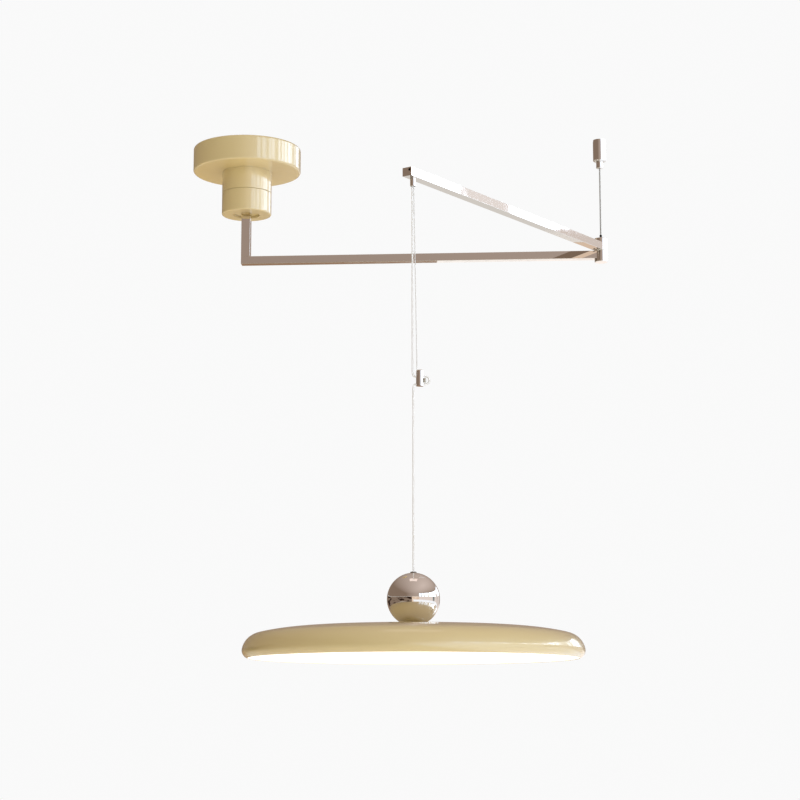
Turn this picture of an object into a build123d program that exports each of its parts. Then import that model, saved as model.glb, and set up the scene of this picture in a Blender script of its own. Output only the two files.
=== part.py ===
from build123d import *

import os
from math import cos, hypot, pi, radians, sin, sqrt

# Swing arm pendant light. Millimetres, +Z up, origin on the ceiling at the canopy's axis.
# +X runs along the first arm, and -Y points into the room.

os.makedirs("parts", exist_ok=True)

# Fits
thread_clearance = 0.05
running_clearance = 0.05
sliding_clearance = 0.08
hole_clearance = 0.3
seam_gap = 0.4
weld_clearance = 0.05
cord_clearance = 0.15

# Ceiling plate and its foam gasket
gasket_thickness = 1.5
gasket_hole_margin = 1.0
plate_radius = 66.0
plate_thickness = 2.5
boss_radius = 14.0
boss_height = 12.0
plate_screw_inset = 9.0
plate_screw_radius = 2.6
plate_screw_count = 3
cable_hole_radius = 10.0
cable_hole_distance = 34.0

# Canopy, neck and collar
canopy_radius = 85.5
canopy_height = 38.8
canopy_wall = 1.5
canopy_edge_radius = 3.0
canopy_lip = 8.0
neck_radius = 39.3
neck_height = 33.7
neck_wall = 2.5
neck_top_thickness = 3.0
neck_edge = 0.5
collar_height = 35.0
collar_edge_radius = 2.0
collar_ledge = 3.8
collar_ledge_height = 7.5
collar_floor = 4.0
collar_opening_radius = 21.0

# Swivel
spindle_radius = 8.0
spindle_bore_radius = 5.0
spindle_flange_radius = 15.0
spindle_flange_thickness = 4.0
spindle_nut_width = 24.0
spindle_nut_thickness = 6.0
washer_radius = 15.0
washer_thickness = 1.5
hub_thickness = 6.0
hub_depth = 13.6
hub_screw_count = 3
flange_thickness = 4.0
flange_screw_count = 4
collar_screw_radius = 1.5
collar_screw_head_radius = 2.8
collar_screw_head_height = 2.0
collar_screw_depth = 3.0

# Driver and terminal block under the ceiling plate
driver_length = 76.0
driver_width = 34.0
driver_height = 24.0
driver_gap = 10.0
block_length = 36.0
block_width = 18.0
block_height = 14.0
block_centre = (-38.0, -20.0)

# Rectangular tube of the arms
tube_depth = 15.0
arm_height = 12.0
post_width = 14.0
tube_wall = 1.2
tube_corner_radius = 0.3
arm_drop = 74.9
first_arm_length = 561.6
second_arm_length = 526.4
arm_gap = 1.0
fold_angle = 58.4
fold_least = 8.0
fold_most = 188.0

# Elbow
knuckle_radius = 10.2
knuckle_bottom_margin = 5.2
knuckle_top_margin = 3.7
knuckle_edge_radius = 0.8
pivot_radius = 6.5
pivot_bore_radius = 4.5
pivot_floor = 3.0
pivot_window_margin = 8.0
window_reach = 26.0
elbow_cap_thickness = 4.0
pivot_in_cap = 2.0
tenon_length = 22.0
tenon_clearance = 0.1
tenon_screw_radius = 2.2
tenon_screw_length = 3.0
tenon_screw_distance = 20.5

# Lead inside the arms
lead_radius = 1.8
lead_bend = 6.0
lead_hole_radius = 2.6
lead_gap = 0.2

# Support wire and its gripper on the ceiling
wire_radius = 1.1
ferrule_radius = 1.9
ferrule_length = 8.0
ferrule_edge_radius = 0.5
gripper_radius = 10.0
gripper_height = 35.4
gripper_chamfer = 2.0
gripper_cap_inset = 0.4
gripper_cap_thickness = 3.0
gripper_boss_radius = 6.5
gripper_boss_bore_radius = 4.6
gripper_boss_height = 8.0
gripper_screw_radius = 2.25
gripper_step_height = 8.2
plunger_radius = 5.25
plunger_collar_radius = 6.3
plunger_collar_height = 3.0
plunger_reach = 11.0
plunger_tip_radius = 2.0
plunger_cage_radius = 3.7
plunger_cage_depth = 6.0
plunger_bore_clearance = 0.25
spring_radius = 5.9
spring_wall = 0.9
ball_bearing_radius = 1.1
ball_bearing_count = 3
ball_bearing_gap = 0.1

# Second arm's end
end_cap_thickness = 1.5
end_cap_plug = 7.0
end_screw_radius = 1.9
end_screw_length = 3.0
end_screw_offset = (4.1, 2.4)
nipple_inset = 14.0
nipple_radius = 3.9
nipple_length = 11.7
nipple_shank_radius = 3.4
nipple_bore_radius = 2.6
nipple_mouth_radius = 3.1
nipple_mouth_depth = 5.0
nipple_chamfer = 0.5
nipple_ring_radius = 5.0
nipple_ring_thickness = 1.2

# Cord, hanger wire and adjuster
cord_radius = 1.2
cord_bend = 3.0
upper_cord_offset = -0.9
cord_start_depth = 4.0
hanger_radius = 0.6
hanger_offset = 1.0
hanger_seat_offset = 5.2
hanger_seat_depth = 4.0
hanger_seat_radius = 0.85
adjuster_offset = 8.9
adjuster_radius = 5.0
adjuster_drop = 254.9
adjuster_height = 21.9
adjuster_chamfer = 1.2
adjuster_hole_drop = 8.9
cord_hole_spacing = 10.4
loop_straight = 2.6
clamp_knob_radius = 3.0
clamp_knob_length = 3.3
clamp_shank_radius = 1.5
clamp_shank_length = 2.5

# Ball, stem and shade
pendant_drop = 639.3
ball_radius = 35.0
ball_wall = 1.5
bush_radius = 4.2
bush_height = 1.5
bush_shank_radius = 3.4
bush_length = 5.0
stem_radius = 5.0
stem_bore_radius = 3.0
stem_inset = 9.6
stem_cap_radius = 7.0
stem_cap_height = 8.0
stem_cap_top = 3.0
stem_tail = 0.5
crimp_radius = 2.7
crimp_length = 8.0
stem_nut_width = 17.0
stem_nut_thickness = 5.0
seat_inner_radius = 9.5
seat_outer_radius = 12.5
seat_height = 1.9
shade_radius = 225.0
shade_wall = 1.2
dome_height = 30.0
crown_inset = 75.0
crown_drop = 2.4
shoulder_inset = 20.0
shoulder_drop = 9.5
rim_bulge = 0.17
lip_inset = 7.5
lip_drop = 12.1
tray_inset = 25.0
tray_thickness = 1.5
tray_height = 4.0
tray_boss_radius = 12.0
board_width = 130.0
board_margin = 10.0
board_thickness = 1.6
chip_size = 3.0
chip_height = 0.8
chip_ring_margin = 20.0
chip_ring_pitch = 40.0
chip_ring_counts = (32, 24, 18)
diffuser_clearance = 0.5
diffuser_thickness = 3.0
diffuser_recess = 0.5
standoff_radius = 4.0
standoff_count = 6

# Levels, from the ceiling down
gasket_bottom = -gasket_thickness
plate_bottom = gasket_bottom - plate_thickness
canopy_bottom = plate_bottom - canopy_height
canopy_floor_top = canopy_bottom + canopy_wall
neck_bottom = canopy_bottom - neck_height
neck_roof_bottom = canopy_bottom - neck_top_thickness
collar_top = neck_bottom - seam_gap
collar_bottom = collar_top - collar_height
collar_floor_top = collar_bottom + collar_floor
hub_bottom = collar_top - hub_depth
hub_top = hub_bottom + hub_thickness
thrust_bottom = hub_bottom - washer_thickness
spindle_bottom = thrust_bottom - spindle_flange_thickness
locknut_bottom = hub_top + washer_thickness
flange_top = collar_floor_top + flange_thickness
first_axis_z = collar_bottom - arm_drop
first_top = first_axis_z + arm_height / 2
first_bottom = first_axis_z - arm_height / 2
second_bottom = first_top + arm_gap
second_axis_z = second_bottom + arm_height / 2
second_top = second_bottom + arm_height
elbow_bottom = first_bottom - knuckle_bottom_margin
elbow_joint_top = second_top + knuckle_top_margin
elbow_top = elbow_joint_top + elbow_cap_thickness
pivot_bottom = elbow_bottom + pivot_floor
pivot_top = elbow_joint_top + pivot_in_cap
lead_split_z = (first_top + second_bottom) / 2
barrel_top = -gripper_cap_thickness
barrel_bottom = -gripper_height
boss_bottom = barrel_top - gripper_boss_height
plunger_step = barrel_bottom + gripper_step_height
plunger_top = plunger_step + plunger_collar_height
plunger_bottom = barrel_bottom - plunger_reach
nipple_bottom = second_bottom - nipple_length
cord_top = nipple_bottom + cord_start_depth
adjuster_top = nipple_bottom - adjuster_drop
adjuster_bottom = adjuster_top - adjuster_height
upper_hole_z = adjuster_top - adjuster_hole_drop
lower_hole_z = upper_hole_z - cord_hole_spacing
widest_z = second_axis_z - pendant_drop - arm_height / 2
dome_top = widest_z + dome_height
lip_bottom = widest_z - lip_drop
seat_top = dome_top + seat_height
ball_centre_z = seat_top + sqrt(ball_radius**2 - seat_inner_radius**2)
ball_top = ball_centre_z + ball_radius
stem_top = ball_top - stem_inset
tray_bottom = widest_z + tray_height
tray_top = tray_bottom + tray_thickness
tray_nut_bottom = tray_bottom - stem_nut_thickness
stem_bottom = tray_nut_bottom - stem_tail
diffuser_bottom = lip_bottom + diffuser_recess
diffuser_top = diffuser_bottom + diffuser_thickness

# Planes: the second arm lies along its own X, and the pendant hangs on its own axis
fold = radians(fold_angle)
elbow = (first_arm_length, 0)
second_plane = Plane(origin=(*elbow, 0), x_dir=(-cos(fold), -sin(fold), 0), z_dir=(0, 0, 1))
pendant = second_plane.from_local_coords(Vector(second_arm_length - nipple_inset, 0, 0))
pendant_centre = (pendant.X, pendant.Y)
pendant_section = Plane(origin=(*pendant_centre, 0), x_dir=(1, 0, 0), z_dir=(0, -1, 0))
pendant_axis = Axis((*pendant_centre, 0), (0, 0, 1))
inner_depth = tube_depth - 2 * tube_wall
inner_height = arm_height - 2 * tube_wall
neck_bore_radius = neck_radius - neck_wall
ledge_radius = neck_bore_radius - collar_ledge


def save(piece, name):
    """Labels a finished piece and writes it."""
    piece.part.label = name
    export_step(piece.part, f"parts/{name}.step")


def ring(outer_radius, inner_radius, bottom, top, centre=(0, 0)):
    """A flat ring, tube or disc about a vertical axis."""
    with BuildPart() as piece:
        with BuildSketch(Plane((*centre, bottom))):
            Circle(outer_radius)
            if inner_radius > 0:
                Circle(inner_radius, mode=Mode.SUBTRACT)
        extrude(amount=top - bottom)
    return piece


def hex_nut(width, bore_radius, bottom, top, centre=(0, 0)):
    """A hexagon nut about a vertical axis, with a plain bore."""
    with BuildPart() as piece:
        with BuildSketch(Plane((*centre, bottom))):
            RegularPolygon(width / 2, 6, major_radius=False)
            Circle(bore_radius, mode=Mode.SUBTRACT)
        extrude(amount=top - bottom)
    return piece


def cord(name, route, radius):
    """A round cord along a route of straight runs and tangent arcs; prints how its volume compares."""
    path = route.wire()
    with BuildPart() as piece:
        with BuildSketch(Plane(origin=path @ 0, z_dir=path % 0)):
            Circle(radius)
        sweep(path=path)
    bends = [round(edge.radius, 2) for edge in path.edges().filter_by(GeomType.CIRCLE)]
    share = piece.part.volume / (pi * radius**2 * path.length)
    print(name, "length", round(path.length, 1), "bends", bends, "volume share", round(share, 4))
    save(piece, name)


# Foam gasket and ceiling plate
plate_screws = PolarLocations(plate_radius - plate_screw_inset, plate_screw_count, start_angle=30)

with BuildPart() as ceiling_gasket:
    with BuildSketch(Plane.XY.offset(gasket_bottom)):
        Circle(plate_radius)
        with plate_screws:
            Circle(plate_screw_radius, mode=Mode.SUBTRACT)
        with Locations((0, -cable_hole_distance)):
            Circle(cable_hole_radius + gasket_hole_margin, mode=Mode.SUBTRACT)
    extrude(amount=gasket_thickness)
save(ceiling_gasket, "ceiling_gasket")

with BuildPart() as ceiling_plate:
    with BuildSketch(Plane.XY.offset(plate_bottom)):
        Circle(plate_radius)
        with plate_screws:
            Circle(plate_screw_radius, mode=Mode.SUBTRACT)
        with Locations((0, -cable_hole_distance)):
            Circle(cable_hole_radius, mode=Mode.SUBTRACT)
    extrude(amount=plate_thickness)
    with BuildSketch(Plane.XY.offset(plate_bottom)):
        Circle(boss_radius)
        Circle(spindle_radius + thread_clearance, mode=Mode.SUBTRACT)
    extrude(amount=-boss_height)
save(ceiling_plate, "ceiling_plate")

# Canopy cup: a spun disc with soft edges, open to the ceiling
hub_hole_radius = spindle_radius + hole_clearance
lip_x = canopy_radius - canopy_lip
canopy_bore = canopy_radius - canopy_wall
lip_z = plate_bottom - canopy_wall
with BuildPart() as canopy_cup:
    with BuildSketch(Plane.XZ):
        with BuildLine():
            FilletPolyline(
                (lip_x, plate_bottom),
                (canopy_radius, plate_bottom),
                (canopy_radius, canopy_bottom),
                (hub_hole_radius, canopy_bottom),
                radius=canopy_edge_radius,
            )
            FilletPolyline(
                (lip_x, lip_z),
                (canopy_bore, lip_z),
                (canopy_bore, canopy_floor_top),
                (hub_hole_radius, canopy_floor_top),
                radius=canopy_edge_radius - canopy_wall,
            )
            Line((lip_x, plate_bottom), (lip_x, lip_z))
            Line((hub_hole_radius, canopy_bottom), (hub_hole_radius, canopy_floor_top))
        make_face()
    revolve(axis=Axis.Z)
save(canopy_cup, "canopy_cup")

# Fixed neck under the canopy
with BuildPart() as neck:
    with BuildSketch(Plane.XY.offset(neck_bottom)):
        Circle(neck_radius)
    extrude(amount=neck_height)
    chamfer(neck.edges().group_by(Axis.Z)[0], neck_edge)
    with BuildSketch(Plane.XY.offset(neck_bottom)):
        Circle(neck_bore_radius)
    extrude(amount=neck_height - neck_top_thickness, mode=Mode.SUBTRACT)
    with BuildSketch(Plane.XY.offset(neck_roof_bottom)):
        Circle(hub_hole_radius)
    extrude(amount=neck_top_thickness, mode=Mode.SUBTRACT)
save(neck, "neck")

# Hollow spindle with its flange, and a side hole for the lead
lead_entry_z = plate_bottom - boss_height - lead_hole_radius - 2 * lead_radius
with BuildPart() as spindle:
    with BuildSketch(Plane.XY.offset(spindle_bottom)):
        Circle(spindle_flange_radius)
    extrude(amount=spindle_flange_thickness)
    with BuildSketch(Plane.XY.offset(thrust_bottom)):
        Circle(spindle_radius)
    extrude(amount=plate_bottom - thrust_bottom)
    with BuildSketch(Plane.XY.offset(spindle_bottom)):
        Circle(spindle_bore_radius)
    extrude(amount=plate_bottom - spindle_bottom, mode=Mode.SUBTRACT)
    with BuildSketch(Plane.XZ.offset(-spindle_radius)):
        with Locations((0, lead_entry_z)):
            Circle(lead_hole_radius)
    extrude(amount=spindle_radius, mode=Mode.SUBTRACT)
save(spindle, "spindle")

nut_bore = spindle_radius + thread_clearance
canopy_nut = hex_nut(
    spindle_nut_width, nut_bore, canopy_floor_top, canopy_floor_top + spindle_nut_thickness
)
save(canopy_nut, "canopy_nut")
neck_nut = hex_nut(
    spindle_nut_width, nut_bore, neck_roof_bottom - spindle_nut_thickness, neck_roof_bottom
)
save(neck_nut, "neck_nut")
swivel_locknut = hex_nut(
    spindle_nut_width, nut_bore, locknut_bottom, locknut_bottom + spindle_nut_thickness
)
save(swivel_locknut, "swivel_locknut")
wave_washer = ring(washer_radius, hub_hole_radius, hub_top, locknut_bottom)
save(wave_washer, "wave_washer")
thrust_washer = ring(washer_radius, hub_hole_radius, thrust_bottom, hub_bottom)
save(thrust_washer, "thrust_washer")

# Driver and terminal block on the underside of the ceiling plate
driver_centre_y = boss_radius + driver_gap + driver_width / 2
with BuildPart() as driver_case:
    with BuildSketch(Plane.XY.offset(plate_bottom)):
        with Locations((0, driver_centre_y)):
            RectangleRounded(driver_length, driver_width, 2 * tube_corner_radius)
    extrude(amount=-driver_height)
save(driver_case, "driver_case")

with BuildPart() as terminal_block:
    with BuildSketch(Plane.XY.offset(plate_bottom)):
        with Locations(block_centre):
            Rectangle(block_length, block_width)
    extrude(amount=-block_height)
    with BuildSketch(Plane.XY.offset(plate_bottom - block_height)):
        with Locations(block_centre):
            with GridLocations(block_length / 3, block_width / 2, 3, 2):
                Circle(lead_radius)
    extrude(amount=block_height / 2, mode=Mode.SUBTRACT)
save(terminal_block, "terminal_block")

# Lead from the driver through the spindle
with BuildLine() as swivel_route:
    FilletPolyline(
        (0, boss_radius + driver_gap, lead_entry_z),
        (0, 0, lead_entry_z),
        (0, 0, spindle_bottom),
        radius=lead_bend,
    )
cord("swivel_lead", swivel_route, lead_radius)

# Turning collar: bored from above, with a ledge for the hub and an open floor round the post
with BuildPart() as swivel_collar:
    with BuildSketch(Plane.XY.offset(collar_bottom)):
        Circle(neck_radius)
    extrude(amount=collar_height)
    chamfer(swivel_collar.edges().group_by(Axis.Z)[-1], neck_edge)
    fillet(swivel_collar.edges().group_by(Axis.Z)[0], collar_edge_radius)
    with BuildSketch(Plane.XY.offset(hub_bottom)):
        Circle(neck_bore_radius)
    extrude(amount=hub_depth, mode=Mode.SUBTRACT)
    with BuildSketch(Plane.XY.offset(hub_bottom)):
        Circle(ledge_radius)
    extrude(amount=-collar_ledge_height, mode=Mode.SUBTRACT)
    with BuildSketch(Plane.XY.offset(collar_floor_top)):
        Circle(ledge_radius)
    extrude(amount=hub_bottom - collar_ledge_height - collar_floor_top, mode=Mode.SUBTRACT)
    with BuildSketch(Plane.XY.offset(collar_bottom)):
        Circle(collar_opening_radius)
    extrude(amount=collar_floor, mode=Mode.SUBTRACT)
    with BuildSketch(Plane.XY.offset(hub_bottom)):
        with PolarLocations(neck_bore_radius - collar_ledge / 2, hub_screw_count):
            Circle(collar_screw_radius + thread_clearance)
    extrude(amount=-collar_screw_depth, mode=Mode.SUBTRACT)
    with BuildSketch(Plane.XY.offset(collar_floor_top)):
        with PolarLocations((collar_opening_radius + ledge_radius) / 2, flange_screw_count):
            Circle(collar_screw_radius + thread_clearance)
    extrude(amount=-collar_screw_depth, mode=Mode.SUBTRACT)
save(swivel_collar, "swivel_collar")

with BuildPart() as swivel_hub:
    with BuildSketch(Plane.XY.offset(hub_bottom)):
        Circle(neck_bore_radius - weld_clearance)
        Circle(spindle_radius + running_clearance, mode=Mode.SUBTRACT)
        with PolarLocations(neck_bore_radius - collar_ledge / 2, hub_screw_count):
            Circle(collar_screw_radius + thread_clearance, mode=Mode.SUBTRACT)
    extrude(amount=hub_thickness)
save(swivel_hub, "swivel_hub")

with BuildPart() as post_flange:
    with BuildSketch(Plane.XY.offset(collar_floor_top)):
        Circle(ledge_radius - hole_clearance)
        Rectangle(
            post_width + 2 * weld_clearance,
            tube_depth + 2 * weld_clearance,
            mode=Mode.SUBTRACT,
        )
        with PolarLocations((collar_opening_radius + ledge_radius) / 2, flange_screw_count):
            Circle(collar_screw_radius + thread_clearance, mode=Mode.SUBTRACT)
    extrude(amount=flange_thickness)
save(post_flange, "post_flange")

# Pan-head screws that hold the hub and the post flange in the collar
with BuildPart() as collar_screws:
    for seat, clamped, circle_radius, count in (
        (hub_top, hub_thickness, neck_bore_radius - collar_ledge / 2, hub_screw_count),
        (flange_top, flange_thickness, (collar_opening_radius + ledge_radius) / 2, flange_screw_count),
    ):
        with BuildSketch(Plane.XY.offset(seat)):
            with PolarLocations(circle_radius, count):
                Circle(collar_screw_head_radius if seat == flange_top else collar_ledge / 2)
        extrude(amount=collar_screw_head_height)
        with BuildSketch(Plane.XY.offset(seat)):
            with PolarLocations(circle_radius, count):
                Circle(collar_screw_radius)
        extrude(amount=-(clamped + collar_screw_depth))
save(collar_screws, "collar_screws")

# Post: upright tube welded to the flange and standing on the first arm
with BuildPart() as arm_post:
    with BuildSketch(Plane.XY.offset(first_top)):
        RectangleRounded(post_width, tube_depth, tube_corner_radius)
        Rectangle(post_width - 2 * tube_wall, inner_depth, mode=Mode.SUBTRACT)
    extrude(amount=flange_top - first_top)
save(arm_post, "arm_post")

# First arm: tube closed below the post, coped round the lower knuckle
first_start = -post_width / 2
first_section = Plane(origin=(first_start, 0, first_axis_z), x_dir=(0, 1, 0), z_dir=(1, 0, 0))
first_screw_x = first_arm_length - tenon_screw_distance
with BuildPart() as first_arm_tube:
    with BuildSketch(first_section):
        RectangleRounded(tube_depth, arm_height, tube_corner_radius)
    extrude(amount=first_arm_length - first_start)
    with BuildSketch(first_section.offset(tube_wall)):
        Rectangle(inner_depth, inner_height)
    extrude(amount=first_arm_length - first_start, mode=Mode.SUBTRACT)
    with BuildSketch(Plane.XY.offset(first_top - tube_wall)):
        Rectangle(post_width - 2 * tube_wall, inner_depth)
    extrude(amount=tube_wall, mode=Mode.SUBTRACT)
    with BuildSketch(Plane((*elbow, first_bottom))):
        Circle(knuckle_radius + weld_clearance)
    extrude(amount=arm_height, mode=Mode.SUBTRACT)
    with BuildSketch(Plane.XZ.offset(-tube_depth / 2)):
        with Locations((first_screw_x, first_axis_z)):
            Circle(tenon_screw_radius + thread_clearance)
    extrude(amount=tube_wall, mode=Mode.SUBTRACT)
save(first_arm_tube, "first_arm_tube")

# Lower knuckle with its tenon in the first arm
tenon_depth = inner_depth - 2 * tenon_clearance
tenon_height = inner_height - 2 * tenon_clearance
tenon_end = knuckle_radius + tenon_length
with BuildPart() as lower_knuckle:
    with BuildSketch(Plane((*elbow, elbow_bottom))):
        Circle(knuckle_radius)
    extrude(amount=first_top - elbow_bottom)
    fillet(lower_knuckle.edges().group_by(Axis.Z)[0], knuckle_edge_radius)
    with BuildSketch(first_section.offset(first_arm_length - first_start - tenon_end)):
        Rectangle(tenon_depth, tenon_height)
    extrude(amount=tenon_end)
    with BuildSketch(Plane((*elbow, pivot_bottom))):
        Circle(pivot_radius + thread_clearance)
    extrude(amount=first_top - pivot_bottom, mode=Mode.SUBTRACT)
    with BuildSketch(first_section.offset(first_arm_length - first_start - tenon_end)):
        Circle(lead_hole_radius)
    extrude(amount=tenon_end, mode=Mode.SUBTRACT)
    with BuildSketch(Plane.XZ.offset(-tube_depth / 2)):
        with Locations((first_screw_x, first_axis_z)):
            Circle(tenon_screw_radius + thread_clearance)
    extrude(amount=tenon_screw_length, mode=Mode.SUBTRACT)
save(lower_knuckle, "lower_knuckle")

with BuildPart() as first_tenon_screw:
    with BuildSketch(Plane.XZ.offset(-tube_depth / 2)):
        with Locations((first_screw_x, first_axis_z)):
            Circle(tenon_screw_radius)
            RegularPolygon(tenon_screw_radius / 2, 6, mode=Mode.SUBTRACT)
    extrude(amount=tenon_screw_length)
save(first_tenon_screw, "first_tenon_screw")

# Hollow pivot: a hole for the first arm's lead, a wide window for the second arm's
with BuildPart() as elbow_pivot:
    with BuildSketch(Plane((*elbow, pivot_bottom))):
        Circle(pivot_radius)
        Circle(pivot_bore_radius, mode=Mode.SUBTRACT)
    extrude(amount=pivot_top - pivot_bottom)
    with BuildSketch(first_section.offset(first_arm_length - first_start - pivot_radius)):
        Circle(lead_hole_radius)
    extrude(amount=pivot_radius, mode=Mode.SUBTRACT)
    kept_middle = radians((fold_least + fold_most) / 2)
    lead_half_angle = 180 / pi * lead_hole_radius / pivot_bore_radius
    kept_half = radians(180 - (fold_most - fold_least) / 2 - lead_half_angle - pivot_window_margin)
    wedge = [
        (window_reach * cos(kept_middle - kept_half), window_reach * sin(kept_middle - kept_half)),
        (window_reach * cos(kept_middle + kept_half), window_reach * sin(kept_middle + kept_half)),
    ]
    with BuildSketch(Plane((*elbow, second_axis_z - lead_hole_radius))):
        Circle(pivot_radius + hole_clearance)
        with BuildLine():
            Polyline((0, 0), *wedge, close=True)
        make_face(mode=Mode.SUBTRACT)
    extrude(amount=2 * lead_hole_radius, mode=Mode.SUBTRACT)
save(elbow_pivot, "elbow_pivot")

elbow_washer = ring(
    knuckle_radius - hole_clearance, pivot_radius + hole_clearance, first_top, second_bottom, elbow
)
save(elbow_washer, "elbow_washer")

# Cap on the pivot, which holds the support wire's ferrule
with BuildPart() as elbow_cap:
    with BuildSketch(Plane((*elbow, elbow_joint_top))):
        Circle(knuckle_radius)
    extrude(amount=elbow_cap_thickness)
    fillet(elbow_cap.edges().group_by(Axis.Z)[-1], knuckle_edge_radius)
    with BuildSketch(Plane((*elbow, elbow_joint_top))):
        Circle(pivot_radius + thread_clearance)
    extrude(amount=pivot_in_cap, mode=Mode.SUBTRACT)
    with BuildSketch(Plane((*elbow, elbow_joint_top))):
        Circle(ferrule_radius + thread_clearance)
    extrude(amount=elbow_cap_thickness, mode=Mode.SUBTRACT)
save(elbow_cap, "elbow_cap")

# Lead through the post, the first arm and up into the elbow
with BuildLine() as first_route:
    FilletPolyline(
        (0, 0, spindle_bottom - lead_gap),
        (0, 0, first_axis_z),
        (first_arm_length, 0, first_axis_z),
        (first_arm_length, 0, lead_split_z - lead_gap / 2),
        radius=lead_bend,
    )
cord("first_arm_lead", first_route, lead_radius)

# Upper knuckle, turning on the pivot, with its tenon in the second arm
second_section = Plane(
    origin=second_plane.from_local_coords(Vector(0, 0, second_axis_z)),
    x_dir=second_plane.y_dir,
    z_dir=second_plane.x_dir,
)
second_screw = second_plane.from_local_coords(Vector(tenon_screw_distance, 0, 0))
with BuildPart() as upper_knuckle:
    with BuildSketch(Plane((*elbow, second_bottom))):
        Circle(knuckle_radius)
    extrude(amount=elbow_joint_top - second_bottom)
    with BuildSketch(second_section):
        Rectangle(tenon_depth, tenon_height)
    extrude(amount=tenon_end)
    with BuildSketch(Plane((*elbow, second_bottom))):
        Circle(pivot_radius + running_clearance)
    extrude(amount=elbow_joint_top - second_bottom, mode=Mode.SUBTRACT)
    with BuildSketch(second_section):
        Circle(lead_hole_radius)
    extrude(amount=tenon_end, mode=Mode.SUBTRACT)
    with BuildSketch(Plane((second_screw.X, second_screw.Y, second_bottom))):
        Circle(tenon_screw_radius + thread_clearance)
    extrude(amount=tenon_screw_length, mode=Mode.SUBTRACT)
save(upper_knuckle, "upper_knuckle")

# Second arm tube, coped round the upper knuckle and open for the cord nipple
with BuildPart() as second_arm_tube:
    with BuildSketch(second_section):
        RectangleRounded(tube_depth, arm_height, tube_corner_radius)
        Rectangle(inner_depth, inner_height, mode=Mode.SUBTRACT)
    extrude(amount=second_arm_length - end_cap_thickness)
    with BuildSketch(Plane((*elbow, second_bottom))):
        Circle(knuckle_radius + weld_clearance)
    extrude(amount=arm_height, mode=Mode.SUBTRACT)
    with BuildSketch(Plane((second_screw.X, second_screw.Y, second_bottom))):
        Circle(tenon_screw_radius + thread_clearance)
    extrude(amount=tube_wall, mode=Mode.SUBTRACT)
    with BuildSketch(Plane((*pendant_centre, second_bottom))):
        Circle(nipple_shank_radius + thread_clearance)
    extrude(amount=tube_wall, mode=Mode.SUBTRACT)
save(second_arm_tube, "second_arm_tube")

with BuildPart() as second_tenon_screw:
    with BuildSketch(Plane((second_screw.X, second_screw.Y, second_bottom))):
        Circle(tenon_screw_radius)
        RegularPolygon(tenon_screw_radius / 2, 6, mode=Mode.SUBTRACT)
    extrude(amount=tenon_screw_length)
save(second_tenon_screw, "second_tenon_screw")

# End cap with its plug, and the small screw in its corner
end_section = second_section.offset(second_arm_length)
with BuildPart() as arm_end_cap:
    with BuildSketch(end_section):
        RectangleRounded(tube_depth, arm_height, tube_corner_radius)
    extrude(amount=-end_cap_thickness)
    with BuildSketch(end_section.offset(-end_cap_thickness)):
        Rectangle(tenon_depth, tenon_height)
    extrude(amount=tenon_clearance - end_cap_plug)
    with BuildSketch(end_section):
        with Locations(end_screw_offset):
            Circle(end_screw_radius + thread_clearance)
    extrude(amount=-end_screw_length, mode=Mode.SUBTRACT)
save(arm_end_cap, "arm_end_cap")

with BuildPart() as end_cap_screw:
    with BuildSketch(end_section):
        with Locations(end_screw_offset):
            Circle(end_screw_radius)
            RegularPolygon(end_screw_radius / 2, 6, mode=Mode.SUBTRACT)
    extrude(amount=-end_screw_length)
save(end_cap_screw, "end_cap_screw")

# Cord nipple: shank through the tube's floor, wide mouth where the cord swings
ring_bottom = second_bottom + tube_wall
ring_top = ring_bottom + nipple_ring_thickness
with BuildPart() as cord_nipple:
    with BuildSketch(Plane((*pendant_centre, nipple_bottom))):
        Circle(nipple_radius)
    extrude(amount=nipple_length)
    chamfer(cord_nipple.edges().group_by(Axis.Z)[0], nipple_chamfer)
    with BuildSketch(Plane((*pendant_centre, second_bottom))):
        Circle(nipple_shank_radius)
    extrude(amount=ring_top - second_bottom)
    with BuildSketch(Plane((*pendant_centre, nipple_bottom))):
        Circle(nipple_bore_radius)
    extrude(amount=ring_top - nipple_bottom, mode=Mode.SUBTRACT)
    with BuildSketch(Plane((*pendant_centre, nipple_bottom))):
        Circle(nipple_mouth_radius)
    extrude(amount=nipple_mouth_depth, mode=Mode.SUBTRACT)
save(cord_nipple, "cord_nipple")

nipple_ring = ring(
    nipple_ring_radius, nipple_shank_radius + thread_clearance, ring_bottom, ring_top, pendant_centre
)
save(nipple_ring, "nipple_ring")

# Lead through the elbow, the second arm and down into the nipple
with BuildLine() as second_route:
    FilletPolyline(
        (*elbow, lead_split_z + lead_gap / 2),
        (*elbow, second_axis_z),
        (*pendant_centre, second_axis_z),
        (*pendant_centre, nipple_bottom + nipple_mouth_depth + lead_gap),
        radius=lead_bend,
    )
cord("second_arm_lead", second_route, lead_radius)

# Support wire, its ferrule in the elbow cap, and the gripper on the ceiling
ferrule_bottom = pivot_top
ferrule_top = ferrule_bottom + ferrule_length
with BuildPart() as wire_ferrule:
    with BuildSketch(Plane((*elbow, ferrule_bottom))):
        Circle(ferrule_radius)
    extrude(amount=ferrule_length)
    fillet(wire_ferrule.edges().group_by(Axis.Z)[-1], ferrule_edge_radius)
save(wire_ferrule, "wire_ferrule")

with BuildLine() as support_route:
    Line((*elbow, boss_bottom - spring_wall), (*elbow, ferrule_top))
cord("support_wire", support_route, wire_radius)

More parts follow.
